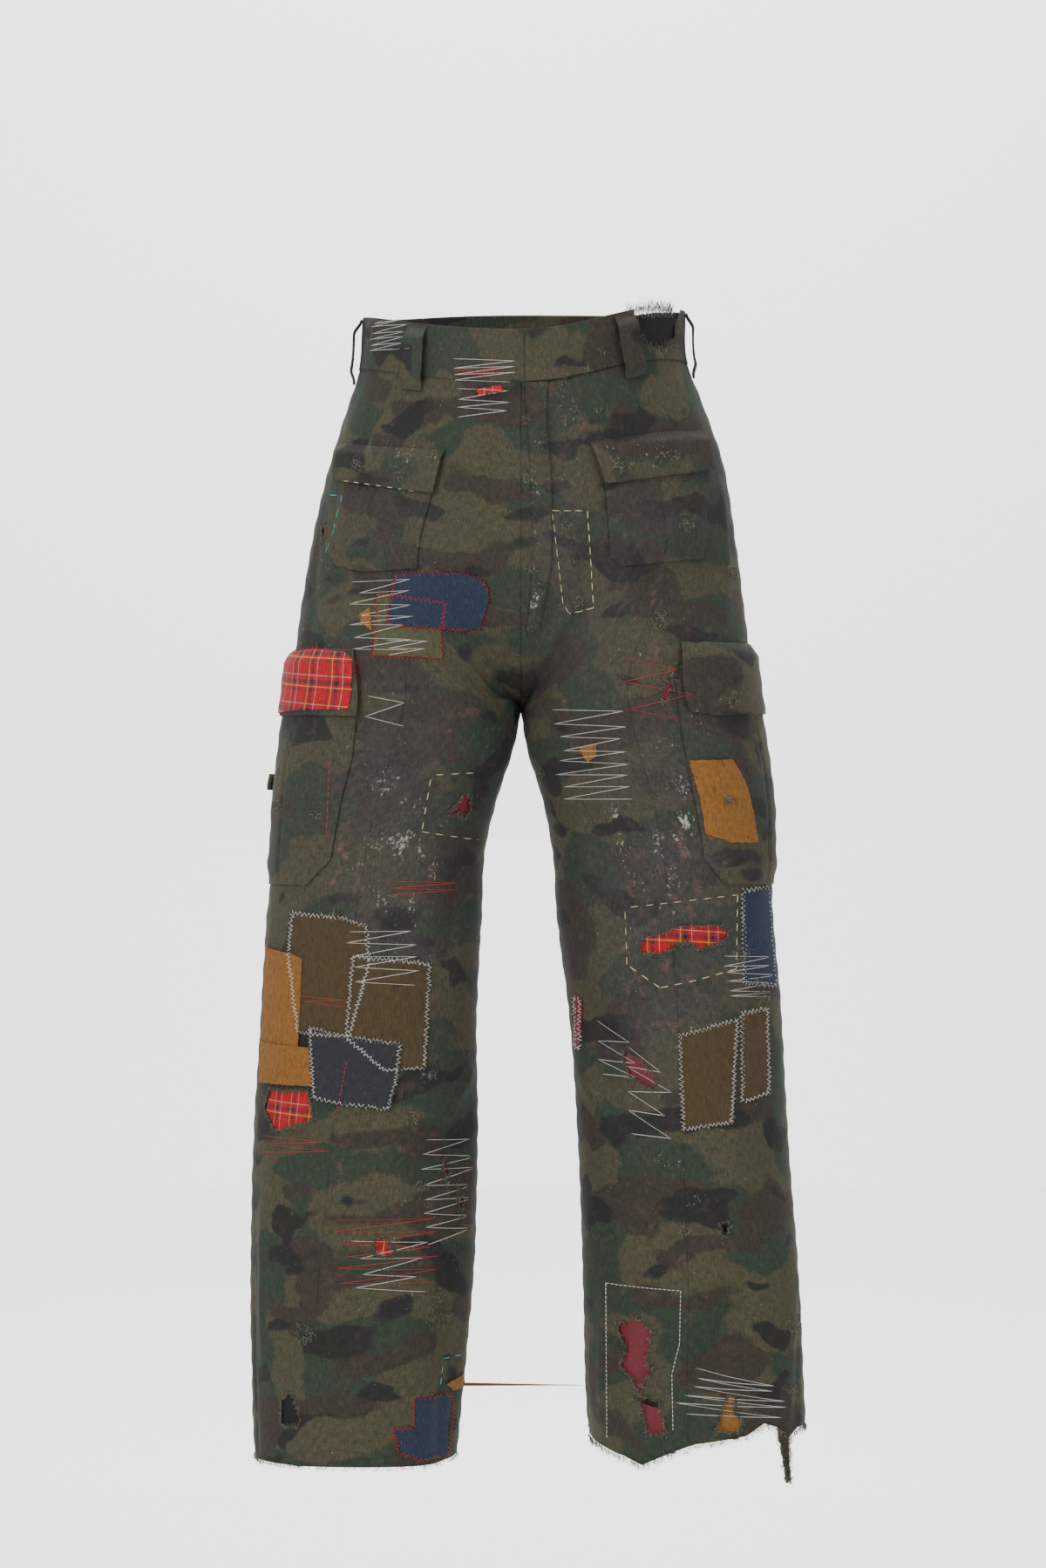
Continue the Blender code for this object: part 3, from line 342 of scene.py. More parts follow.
def power(value, exponent):
    """Raises to a power and keeps the sign."""
    return np.sign(value) * np.abs(value) ** exponent


def column_of(name, level):
    """Reads one column of the sections at a level, along a smooth curve through its rows."""
    levels = np.array([row.level for row in SECTIONS][::-1]) * MM
    values = np.array([getattr(row, name) for row in SECTIONS][::-1]) * MM
    slope = np.gradient(values, levels)
    i = np.clip(np.searchsorted(levels, level) - 1, 0, len(levels) - 2)
    span = levels[i + 1] - levels[i]
    t = np.clip((level - levels[i]) / span, 0, 1)
    return (
        (1 + 2 * t) * (1 - t) ** 2 * values[i] + t * (1 - t) ** 2 * span * slope[i]
        + t * t * (3 - 2 * t) * values[i + 1] - t * t * (1 - t) * span * slope[i + 1]
    )


def tilt(side, share, level):
    """How far the cloth at this place is above its level, as the waist tips."""
    across = np.sin((share - 0.5) * math.pi)
    front = np.clip(-across, 0, 1) ** np.where(side < 0, 2, 6) * np.where(side < 0, 18, 24)
    back = np.clip(across, 0, 1) ** 2 * np.where(side < 0, 12, 6)
    return (side * 3 - front + back) * MM * smooth(LEVEL_FADE, BAND_BOTTOM * MM, level)


def share_at(side, column, level):
    """How far round half the body a column is, from 0 at the front to 1 at the back."""
    seam = np.where(
        side < 0,
        np.interp(level / MM, *zip(*FRONT_SEAM[-1])),
        np.interp(level / MM, *zip(*FRONT_SEAM[1])),
    )
    return np.where(
        column < SEAM_COLUMN,
        seam * column / SEAM_COLUMN,
        np.where(
            column < SIDE_COLUMN,
            seam + (0.5 - seam) * (column - SEAM_COLUMN) / (SIDE_COLUMN - SEAM_COLUMN),
            0.5 + 0.5 * (column - SIDE_COLUMN) / (BACK_COLUMN - SIDE_COLUMN),
        ),
    )


def body_point(side, share, level):
    """A point of the plain surface: half a ring above the crotch, a leg's ring below it."""
    outer = np.where(side < 0, column_of("right_outer", level), column_of("left_outer", level))
    inner = np.where(side < 0, column_of("right_inner", level), column_of("left_inner", level))
    inner = np.maximum(inner, 0)
    front, back = column_of("front", level), column_of("back", level)
    middle, half = (front + back) / 2, (back - front) / 2
    rise = np.clip((level - CROTCH) / (HIP - CROTCH), 0, 1)
    steep = 1 - np.sqrt(np.maximum(1 - (1 - rise) ** 2, 0))
    gentle = smooth(1, 0, rise)
    near_rise = smooth(0.24, 0.02, np.minimum(share, 1 - share))
    split = gentle + (steep - gentle) * near_rise
    torso, leg = (share - 0.5) * math.pi, (share - 0.5) * 2 * math.pi
    torso_x, torso_y = outer * power(np.cos(torso), ROUND), middle + half * power(np.sin(torso), ROUND)
    leg_x = (outer + inner) / 2 + (outer - inner) / 2 * power(np.cos(leg), ROUND)
    leg_y = middle + half * power(np.sin(leg), ROUND)
    x = torso_x + (leg_x - torso_x) * split
    y = torso_y + (leg_y - torso_y) * split
    return np.stack([side * x, y, level + tilt(side, share, level)], axis=-1)


def places(corners):
    """The (column, level) of places on the front, from how far across and how high they are."""
    x, z = np.array(corners, float).T * MM
    side = np.where(x > 0, 1, -1)
    level = z.copy()
    for _ in range(5):
        low, high = np.zeros(len(x)), np.full(len(x), float(SIDE_COLUMN))
        for _ in range(24):
            column = (low + high) / 2
            short = body_point(side, share_at(side, column, level), level)[:, 0] * side < x * side
            low, high = np.where(short, column, low), np.where(short, high, column)
        level = z - tilt(side, share_at(side, column, level), level)
    return list(zip((side * column).tolist(), (level / MM).tolist()))


def relief(columns, levels, folds):
    """Height of the folds at signed columns and levels (m)."""
    total = np.zeros(columns.shape)
    for fold in folds:
        start = np.array([fold.column * FLAT_PITCH, fold.level * MM])
        along = np.array([fold.end_column * FLAT_PITCH, fold.end_level * MM]) - start
        px, pz = columns * FLAT_PITCH - start[0], levels - start[1]
        t = (px * along[0] + pz * along[1]) / (along @ along)
        near = np.clip(t, 0, 1)
        apart = np.hypot(px - near * along[0], pz - near * along[1]) / (fold.half * MM)
        ridge = FOLD_GAIN * fold.height * MM * np.exp(-(apart ** 2))
        total += ridge * smooth(-0.35, 0.25, t) * smooth(1.35, 0.75, t)
    return total


def surface(columns, levels):
    """Points and outward normals at signed columns and levels (m)."""
    wrapped = (columns + BACK_COLUMN) % (2 * BACK_COLUMN) - BACK_COLUMN
    side = np.where(wrapped >= 0, 1, -1)
    column = np.abs(wrapped)
    step = 0.03

    def plain(at, height):
        at = np.clip(at, 0, BACK_COLUMN)
        return body_point(side, share_at(side, at, height), height)

    around = (plain(column + step, levels) - plain(column - step, levels)) * side[..., None]
    up = plain(column, levels + step * 0.02) - plain(column, levels - step * 0.02)
    normals = np.cross(around, up)
    normals /= np.linalg.norm(normals, axis=-1, keepdims=True) + 1e-12
    fade = smooth(0, 1.2, column) * smooth(BACK_COLUMN, BACK_COLUMN - 1.2, column)
    height = relief(wrapped, levels, FOLDS) * fade + relief(wrapped, levels, CREASES) * fade
    height += seam_ridge(column, levels)
    return plain(column, levels) + normals * height[..., None], normals


def seam_ridge(column, levels):
    """Raised, slightly puckered seams down the front, side and inside of each leg."""
    total = np.zeros(column.shape)
    for seam in (SEAM_COLUMN, SIDE_COLUMN, 0, BACK_COLUMN):
        near = np.exp(-(((column - seam) / 0.17) ** 2))
        total += near * (0.9 + 0.45 * np.sin(levels * 260 + seam)) * MM * 0.8
    return total * smooth(-5 * MM, -30 * MM, levels)


def inside_many(spots, outline):
    """Which of the spots lie inside an outline."""
    x, y = spots[:, 0], spots[:, 1]
    hit = np.zeros(len(spots), bool)
    for (ax, ay), (bx, by) in zip(outline, np.roll(outline, -1, axis=0)):
        if ay == by:
            continue
        hit ^= ((ay > y) != (by > y)) & (x < (bx - ax) * (y - ay) / (by - ay) + ax)
    return hit


def flat_path(corners, spacing, ragged=0.0):
    """A closed outline in flat metres, with points at a spacing, roughened by some millimetres."""
    corners = [(c * FLAT_PITCH, z * MM) for c, z in corners]
    path = []
    for (ax, ay), (bx, by) in zip(corners, corners[1:] + corners[:1]):
        count = max(1, int(math.hypot(bx - ax, by - ay) / spacing))
        path += [(ax + (bx - ax) * i / count, ay + (by - ay) * i / count) for i in range(count)]
    if ragged:
        path = [(x + draw.uniform(-1, 1) * ragged * MM, y + draw.uniform(-1, 1) * ragged * MM)
                for x, y in path]
    return path


def cut_flat(outline, holes, spacing, ragged=0.0):
    """Cuts an outline, less its holes, from flat cloth: points and triangles."""
    rim = flat_path(outline, spacing, ragged)
    gaps = [flat_path(hole, min(spacing, 2 * MM), 0.9) for hole in holes]
    points, edges = [], []
    for path in [rim, *gaps]:
        first = len(points)
        points += path
        edges += [(first + i, first + (i + 1) % len(path)) for i in range(len(path))]
    rim_array = np.array(rim)
    low, high = rim_array.min(axis=0), rim_array.max(axis=0)
    gx, gy = np.meshgrid(np.arange(low[0] + spacing / 2, high[0], spacing),
                         np.arange(low[1] + spacing / 2, high[1], spacing))
    grid = np.stack([gx.ravel(), gy.ravel()], axis=1)
    grid = grid[inside_many(grid, rim_array)]
    points += [tuple(p) for p in grid]
    found = delaunay_2d_cdt([Vector(p) for p in points], edges, [], 0, 1e-7)
    flat = np.array([(p.x, p.y) for p in found[0]])
    faces = np.array([face[:3] for face in found[2]])
    middles = flat[faces].mean(axis=1)
    keep = inside_many(middles, rim_array)
    for gap in gaps:
        keep &= ~inside_many(middles, np.array(gap))
    faces = faces[keep]
    a, b, c = flat[faces[:, 0]], flat[faces[:, 1]], flat[faces[:, 2]]
    area = (b[:, 0] - a[:, 0]) * (c[:, 1] - a[:, 1]) - (b[:, 1] - a[:, 1]) * (c[:, 0] - a[:, 0])
    faces[area < 0] = faces[area < 0][:, ::-1]
    faces = faces[np.abs(area) > 1e-11]
    used, renumbered = np.unique(faces, return_inverse=True)
    return flat[used], renumbered.reshape(faces.shape)


def marks_at(points):
    """How much soot, scuff and pink stain each point carries."""
    values = np.zeros((len(points), 3))
    index = {"soot": 0, "scuff": 1, "pink": 2}
    for mark in MARKS:
        x = (points[:, 0] / MM - mark.x) / mark.wide
        z = (points[:, 2] / MM - mark.z) / mark.high
        values[:, index[mark.kind]] += mark.strength * np.exp(-(x * x + z * z))
    return values


def make_cloth(node, cloth, outline, out, thickness, holes=(), spacing=4 * MM, ragged=0.0):
    """One piece of cloth in place of a solid, with its flat cut, its marks and its thickness."""
    flat, faces = cut_flat(outline, holes, spacing, ragged)
    columns, levels = flat[:, 0] / FLAT_PITCH, flat[:, 1]
    points, normals = surface(columns, levels)
    if callable(out):
        height = np.array([out(c, z / MM) for c, z in zip(columns, levels)])
    else:
        height = np.full(len(points), out)
    wrinkle = np.array([noise.noise(Vector((x * 38, z * 26, side))) for (x, z), side
                        in zip(flat, np.sign(columns) * 3)])
    points = points + normals * (height + wrinkle * WRINKLE)[:, None]
    if node == "front_inner_right":
        beside = (levels > CROTCH) & (columns > -CENTRE_REACH) & (columns < 0)
        points[beside, 0] = np.minimum(points[beside, 0], 0)
    mesh = bpy.data.meshes.new(node)
    mesh.from_pydata(points.tolist(), [], faces.tolist())
    layer = mesh.uv_layers.new(name="cloth")
    layer.data.foreach_set("uv", flat[faces.ravel()].astype(np.float32).ravel())
    marks = np.ones((len(points), 4), np.float32)
    marks[:, :3] = marks_at(points)
    attribute = mesh.attributes.new("marks", "FLOAT_COLOR", "POINT")
    attribute.data.foreach_set("color", marks.ravel())
    mesh.polygons.foreach_set("use_smooth", [True] * len(faces))
    mesh.materials.append(material_for(cloth))
    piece = bpy.data.objects.new("cloth_" + node, mesh)
    bpy.context.scene.collection.objects.link(piece)
    wall = piece.modifiers.new("Thickness", "SOLIDIFY")
    wall.thickness, wall.offset = thickness, -1
    edge_a, edge_b = points[faces[:, 1]] - points[faces[:, 0]], points[faces[:, 2]] - points[faces[:, 0]]
    area = float(np.linalg.norm(np.cross(edge_a, edge_b), axis=1).sum() / 2)
    length = max(float(flat[:, 1].max() - flat[:, 1].min()), SHORTEST_LENGTH)
    width = max(area / length, SHORTEST_WIDTH)
    if width * length > area * MOST_OF_AREA:
        length = max(area / width, SHORTEST_WIDTH)
    ["waist"] if "band" in node else ["band"]
    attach(piece, "root")
    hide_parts(node)
    built["points"].append(points)
    built["faces"].append(faces + built["count"])
    built["count"] += len(points)


def distance_to_line(spot, a, b):
    """How far a spot is from the line between a and b."""
    dx, dy = b[0] - a[0], b[1] - a[1]
    t = max(0, min(1, ((spot[0] - a[0]) * dx + (spot[1] - a[1]) * dy) / (dx * dx + dy * dy)))
    return math.hypot(spot[0] - a[0] - t * dx, spot[1] - a[1] - t * dy)


def to_flat(spot):
    """A (column, level) place on the flat cut, in metres."""
    return spot[0] * FLAT_PITCH, spot[1] * MM


def shrink(outline, factor):
    """Scales an outline about its middle."""
    cx = sum(c for c, _ in outline) / len(outline)
    cz = sum(z for _, z in outline) / len(outline)
    return [(cx + (c - cx) * factor, cz + (z - cz) * factor) for c, z in outline]


def build_panels():
    """The legs' panels, their hems and the hanging tail."""
    for side, word in ((-1, "right"), (1, "left")):
        holes = [places(corners) for corners in HOLES.values() if corners[0][0] * side > 0]
        top = BAND_BOTTOM + 1
        widths = (("front_inner", 0, SEAM_COLUMN), ("front_outer", SEAM_COLUMN, SIDE_COLUMN))
        for name, first, last in widths:
            middle = [row for row in HEM_FRONT[side] if first < row[0] < last]
            ends = [(c, float(np.interp(c, *zip(*HEM_FRONT[side])))) for c in (first + EDGE, last - EDGE)]
            path = [(first + EDGE, top), (last - EDGE, top), ends[1], *middle[::-1], ends[0]]
            make_cloth(f"{name}_{word}", "camo", [(side * c, z) for c, z in path], 0, PANEL_WALL, holes)
            edge = [(side * c, z) for c, z in [ends[0], *middle, ends[1]]]
            fringe(edge, 9 if side > 0 else 5, 2.4 if side > 0 else 1.6, down=True)
        start, end, hem = SIDE_COLUMN + EDGE, BACK_COLUMN - EDGE, HEM_BACK[side]
        path = [(start, top), (end, top), (end, hem), (start, hem)]
        make_cloth(f"back_{word}", "camo", [(side * c, z) for c, z in path], 0, PANEL_WALL, (), 5 * MM)
        fringe([(side * start, hem), (side * end, hem)], 5, 1.2, down=True)
    make_cloth("hem_tail_left", "camo", HEM_TAIL, 0, PANEL_WALL, (), 2 * MM, 1.2)
    fringe([(9.0, -996), (9.55, -1044), (9.8, -1043), (9.6, -1003)], 7, 4)


def build_band():
    """The waistband with its tear, and the fly."""
    def over(column, level):
        return BAND_LIFT + LAP_LIFT * float(smooth(2.6, 1.9, column))

    def box(first, last):
        return [(first, BAND_TOP), (last, BAND_TOP), (last, BAND_BOTTOM), (first, BAND_BOTTOM)]

    tear = places(WAIST_TEAR)
    make_cloth("band_front_right", "camo", box(-SIDE_COLUMN + EDGE, 1.6), BAND_LIFT, BAND_WALL, (), 3 * MM)
    make_cloth("band_front_left", "camo", box(0.15, SIDE_COLUMN - EDGE), over, BAND_WALL, [tear], 3 * MM)
    around = box(SIDE_COLUMN + EDGE, 3 * SIDE_COLUMN - EDGE)
    make_cloth("band_back", "camo", around, BAND_LIFT, BAND_WALL, (), 4 * MM)
    backing = [(6.2, BAND_TOP - 6), (11.6, BAND_TOP - 2), (11.6, BAND_BOTTOM + 4), (6.2, BAND_BOTTOM + 4)]
    make_cloth("backing_waist_black", "black", backing, -2.1 * MM, 1 * MM, (), 3 * MM, 0.8)
    make_cloth("patch_waist_tartan", "tartan", places(WAIST_TARTAN), 1.4 * MM, 0.8 * MM, (), 2 * MM, 0.5)
    fly = [(c, min(z, BAND_BOTTOM - 0.3)) for c, z in places(FLY)]
    make_cloth("fly_front", "camo", fly, 1.4 * MM, 1 * MM, (), 3 * MM, 0.5)
    fringe(places(WAIST_TEAR[3:] + WAIST_TEAR[:1]), 9, 6)
    top_edge = [(c, BAND_TOP - 1) for c in (5.6, 6.4, 7.2, 8.0, 9.0)]
    fringe(top_edge, 10, 5)
    fringe(places(((8, -42), (11, -140), (13, -210), (8, -262))), 3.5, 2.2)


def build_loops():
    """The belt loops, standing off the band between their sewn ends."""
    ends = (33.0, -27.0)
    for name, (column, lean) in BELT_LOOPS.items():
        point, _ = surface(np.array([column]), np.array([0.0]))
        beside, _ = surface(np.array([column + 0.5]), np.array([0.0]))
        half = 10 * MM / (np.linalg.norm(beside - point) / 0.5)
        low = column + lean
        outline = [(column - half, ends[0]), (column + half, ends[0]),
                   (low + half, ends[1]), (low - half, ends[1])]

        def stand(c, z):
            rise = float(smooth(ends[0], 20, z) * smooth(ends[1], -14, z))
            return 3.1 * MM + 6.1 * MM * rise

        make_cloth(name, "camo", outline, stand, 1.8 * MM, (), 2 * MM)


def bag_out(outline, pleat, bulge):
    """Swells a pocket bag from its sewn edges, with a groove along its pleat."""
    rim = [to_flat(spot) for spot in outline]
    fold = [to_flat(spot) for spot in pleat]

    def out(column, level):
        spot = to_flat((column, level))
        edge = min(distance_to_line(spot, a, b) for a, b in zip(rim, rim[1:] + rim[:1]))
        swell = bulge * float(smooth(0, 22 * MM, edge))
        near = min(distance_to_line(spot, a, b) for a, b in zip(fold, fold[1:]))
        swell -= 2.0 * MM * max(0, 1 - near / (3.5 * MM))
        return 1.8 * MM + max(swell, -0.4 * MM)

    return out


def build_pockets():
    """The hip and cargo pockets with their flaps, and the patches on them."""
    for word in ("right", "left"):
        bag, flap, pleat = (places(table[word]) for table in (HIP_BAGS, HIP_FLAPS, HIP_PLEATS))
        swell = bag_out(bag, pleat, 2.8 * MM)
        make_cloth(f"hip_pocket_{word}", "camo", bag, swell, POCKET_WALL, (), 2.5 * MM)
        a, b = to_flat(flap[0]), to_flat(flap[1])

        def hip_out(column, level):
            apart = distance_to_line(to_flat((column, level)), a, b)
            return 2.0 * MM + 5.2 * MM * float(smooth(0, 10 * MM, apart))

        make_cloth(f"hip_flap_{word}", "camo", flap, hip_out, PANEL_WALL, (), 2.5 * MM, 0.3)
        bag, flap = CARGO_BAGS[word], CARGO_FLAPS[word]
        swell = bag_out(bag, CARGO_PLEATS[word], 3.6 * MM)
        make_cloth(f"cargo_pocket_{word}", "camo", bag, swell, POCKET_WALL, (), 3 * MM)
        top = flap[0][1]

        def cargo_out(column, level):
            return 2.0 * MM + 6.0 * MM * min(max((top - level) / 12, 0), 1)

        make_cloth(f"cargo_flap_{word}", "camo", flap, cargo_out, PANEL_WALL, (), 3 * MM, 0.3)
        if word == "right":
            make_cloth("patch_tartan_flap", "tartan", TARTAN_FLAP,
                       lambda c, z: cargo_out(c, z) + LAYER, PATCH_WALL, (), 2.5 * MM, 0.5)
            fringe([*TARTAN_FLAP, TARTAN_FLAP[0]], 4, 3.0, "red")
        else:
            make_cloth("patch_mustard_cargo", "mustard", MUSTARD_CARGO,
                       lambda c, z: swell(c, z) + LAYER, PATCH_WALL, (), 2.5 * MM, 0.6)
    make_cloth("cargo_tab_right", "camo", CARGO_TAB, 10.5 * MM, 4 * MM, (), 3 * MM)


def build_patches():
    """The patches on the panels and the backings inside the holes."""
    for patch in PATCHES:
        out = LAYER + patch.under * 1.0 * MM
        make_cloth(patch.name, patch.cloth, places(patch.corners), out, PATCH_WALL, (), 2.5 * MM, 0.4)
    for backing in BACKINGS:
        outline = shrink(places(HOLES[backing.hole]), backing.reach)
        make_cloth(backing.name, backing.cloth, outline, -BACKING_DEPTH, BACKING_WALL, (), 2.5 * MM, 0.3)


def strand(path, radius, thread):
    """Adds one thin thread, thinner at its ends, along a path of points."""
    sides = STRAND_SIDES
    points, faces = strands[thread]
    path = [Vector(p) for p in path]
    for i, spot in enumerate(path):
        along = path[min(i + 1, len(path) - 1)] - path[max(i - 1, 0)]
        if along.length < 1e-9:
            along = Vector((0, 0, 1))
        across = along.orthogonal().normalized()
        other = along.normalized().cross(across)
        thin = radius * (TIP_SHARE if i in (0, len(path) - 1) else 1)
        first = len(points)
        for k in range(sides):
            turn = 2 * math.pi * k / sides
            points.append(tuple(spot + (across * math.cos(turn) + other * math.sin(turn)) * thin))
        if i:
            for k in range(sides):
                n = (k + 1) % sides
                faces.append((first - sides + k, first - sides + n, first + n, first + k))
    count = len(path) * sides
    end = len(points)
    faces.append(tuple(range(end - count + sides - 1, end - count - 1, -1)))
    faces.append(tuple(range(end - sides, end)))


def fringe(line, length, density, thread="fray", down=False):
    """Loose fibres along a line of (column, level) places; length in mm, density in fibres per mm."""
    cells = []
    for (ac, az), (bc, bz) in zip(line, line[1:]):
        span = math.hypot((bc - ac) * FLAT_PITCH / MM, bz - az)
        for _ in range(int(span * density + draw.random())):
            t = draw.random()
            column, level = ac + (bc - ac) * t, az + (bz - az) * t
            reach = length * draw.uniform(0.3, 1.0) ** 1.5
            turn = draw.gauss(-math.pi / 2, 0.45) if down else draw.uniform(0, 2 * math.pi)
            lift = draw.uniform(-0.3, 1.8)
            for k in range(4):
                share = k / 3
                bend = turn + share * draw.uniform(-0.9, 0.9)
                cells.append((column + math.cos(bend) * reach * share * MM / FLAT_PITCH,
                              level + math.sin(bend) * reach * share, 0.3 + lift * share))
    if not cells:
        return
    cells = np.array(cells)
    side = np.repeat(np.sign(cells[::4, 0]), 4)
    if abs(line[0][0]) <= BACK_COLUMN:
        cells[:, 0] = side * np.clip(np.abs(cells[:, 0]), 0.03, BACK_COLUMN - 0.03)
    points, normals = surface(cells[:, 0], cells[:, 1] * MM)
    points = points + normals * cells[:, 2:3] * MM
    for i in range(0, len(points), 4):
        tint = thread if draw.random() > 0.22 or thread != "fray" else "pale"
        strand(points[i:i + 4], draw.uniform(0.12, 0.24) * MM, tint)


def make_tree():
    """A search tree of the outside of all the cloth."""
    return BVHTree.FromPolygons(
        np.concatenate(built["points"]).tolist(), np.concatenate(built["faces"]).tolist()
    )


def lay(tree, x, z, lift):
    """The point on the cloth's outside, as seen from the front, at x and z in mm."""
    hit, normal, _, _ = tree.ray_cast(Vector((x * MM, -1, z * MM)), Vector((0, 1, 0)))
    if hit is None:
        return None
    if normal.y > 0:
        normal = -normal
    return hit + normal * lift * MM


def lay_thread(tree, spots, thread, radius, step=4.0):
    """Lays a thread over the cloth through spots (mm), broken where the cloth falls away from it."""
    path = []
    for (ax, az), (bx, bz) in zip(spots, spots[1:]):
        count = max(2, int(math.hypot(bx - ax, bz - az) / step))
        for i in range(count):
            t = i / count
            path.append(lay(tree, ax + (bx - ax) * t, az + (bz - az) * t, 0.4 + 0.3 * draw.random()))
    path.append(lay(tree, *spots[-1], 0.1))
    run = []
    for point in path + [None]:
        if point is None or (run and (point - run[-1]).length > LONGEST_STEP):
            if len(run) > 1:
                strand(run, radius * MM, thread)
            run = [] if point is None else [point]
        else:
            run.append(point)


def edge_stitches(tree, corners, thread):
    """Uneven zigzag stitches over a patch's edges."""
    for (ax, az), (bx, bz) in zip(corners, corners[1:] + corners[:1]):
        length = math.hypot(bx - ax, bz - az)
        ux, uz = (bx - ax) / length, (bz - az) / length
        spots, s, sign = [], 0.0, 1
        while s < length:
            reach = sign * draw.uniform(1.0, 2.6)
            spots.append((ax + ux * s - uz * reach, az + uz * s + ux * reach))
            s += draw.uniform(1.4, 2.6)
            sign = -sign
        if len(spots) > 2:
            lay_thread(tree, spots, thread, 0.24, 2.0)


def build_threads():
    """The darning, stitches and loose fibres, joined by colour."""
    tree = make_tree()
    for darn in DARNS:
        spots = []
        for i in range(darn.passes + 1):
            z = darn.top + (darn.bottom - darn.top) * i / darn.passes
            x = darn.left if i % 2 == 0 else darn.right
            tip = darn.slant if i % 2 else 0
            spots.append((x + draw.uniform(-1, 1) * darn.jitter, z + tip * 0.5 + draw.uniform(-1, 1) * 2))
        lay_thread(tree, spots, darn.thread, 0.17)
    for run in RUNS:
        for (ax, az), (bx, bz) in zip(run.corners, run.corners[1:]):
            length = math.hypot(bx - ax, bz - az)
            s = 0.0
            while s < length - 1:
                end = min(s + run.stitch, length)
                spots = [(ax + (bx - ax) * t / length, az + (bz - az) * t / length) for t in (s, end)]
                lay_thread(tree, spots, run.thread, 0.34, 2.0)
                s = end + run.gap * draw.uniform(0.8, 1.2)
    for patch in PATCHES:
        if patch.stitch:
            edge_stitches(tree, list(patch.corners), patch.stitch)
    for nick in NICKS:
        for _ in range(nick.count):
            turn, far = draw.uniform(0, 6.283), nick.reach * draw.random() ** 0.5
            x, z = nick.x + math.cos(turn) * far, nick.z + math.sin(turn) * far
            bend = draw.uniform(0, 6.283)
            length = draw.uniform(1.5, 5)
            spots = [
                lay(tree, x + math.cos(bend + k * 0.5) * length * k / 3,
                    z + math.sin(bend + k * 0.5) * length * k / 3, 0.3 + draw.random())
                for k in range(4)
            ]
            if all(spot is not None for spot in spots):
                strand(spots, draw.uniform(0.12, 0.25) * MM, draw.choice(("fray", "fray", "pale")))
    for name, corners in HOLES.items():
        fringe(places(corners + corners[:1]), 4.5, 3.2)
    for name, (points, faces) in strands.items():
        mesh = bpy.data.meshes.new("threads_" + name)
        mesh.from_pydata(points, [], faces)
        mesh.materials.append(thread_material(name))
        piece = bpy.data.objects.new("threads_" + name, mesh)
        bpy.context.scene.collection.objects.link(piece)
        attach(piece, "root")


class Nodes:
    """Short words for building a node tree."""

    def __init__(self, tree):
        self.tree = tree

    def add(self, kind, inputs=None, **settings):
        node = self.tree.nodes.new(kind)
        for key, value in settings.items():
            setattr(node, key, value)
        for key, value in (inputs or {}).items():
            if isinstance(value, bpy.types.NodeSocket):
                self.tree.links.new(value, node.inputs[key])
            else:
                node.inputs[key].default_value = value
        return node

    def mix(self, factor, a, b):
        node = self.add("ShaderNodeMix", {0: factor, 6: a, 7: b}, data_type="RGBA")
        return node.outputs[2]

    def maths(self, operation, a, b=0.5, clamp=False):
        return self.add("ShaderNodeMath", {0: a, 1: b}, operation=operation, use_clamp=clamp).outputs[0]

    def noise(self, vector, scale, detail=3, rough=0.55):
        node = self.add("ShaderNodeTexNoise", {"Vector": vector, "Scale": scale, "Detail": detail,
                                               "Roughness": rough})
        return node.outputs["Fac"]

    def band(self, value, low, high):
        node = self.add("ShaderNodeMapRange", {"Value": value, "From Min": low, "From Max": high},
                        interpolation_type="SMOOTHSTEP")
        return node.outputs["Result"]

    def stretch(self, vector, scale, turn=0.0, shift=(0, 0, 0)):
        node = self.add("ShaderNodeMapping", {"Vector": vector, "Scale": scale, "Rotation": (0, 0, turn),
                                              "Location": shift})
        return node.outputs["Vector"]


def new_group(name, outputs):
    """Starts a node group with its outputs and the cloth's own UV map."""
    group = bpy.data.node_groups.new(name, "ShaderNodeTree")
    for label, kind in outputs:
        group.interface.new_socket(label, in_out="OUTPUT", socket_type=kind)
    kit = Nodes(group)
    return group, kit, kit.add("NodeGroupOutput"), kit.add("ShaderNodeUVMap", uv_map="cloth").outputs["UV"]


def camouflage_group():
    """Four-colour woodland shapes, broader than they are high."""
    group, kit, output, uv = new_group("Camouflage", [("Color", "NodeSocketColor")])
    warp = kit.add("ShaderNodeTexNoise", {"Vector": uv, "Scale": 34.0, "Detail": 2.0}).outputs["Color"]
    moved = kit.add("ShaderNodeVectorMath", {0: uv, 1: kit.stretch(warp, (0.022, 0.022, 0.022))})
    spot = moved.outputs[0]
    colour = (0.031, 0.028, 0.014, 1)
    layers = (((10, 16, 1), 0.50, (0.0125, 0.0195, 0.0115, 1), (0, 0, 0)),
              ((11, 20, 1), 0.555, (0.0185, 0.0135, 0.0095, 1), (7, 3, 0)),
              ((13, 25, 1), 0.60, (0.0065, 0.0065, 0.006, 1), (2, 9, 0)))
    for scale, edge, tint, shift in layers:
        shape = kit.noise(kit.stretch(spot, scale, shift=shift), 1.0, 1.5, 0.4)
        colour = kit.mix(kit.band(shape, edge - 0.016, edge + 0.016), colour, tint)
    kit.tree.links.new(colour, output.inputs["Color"])
    return group


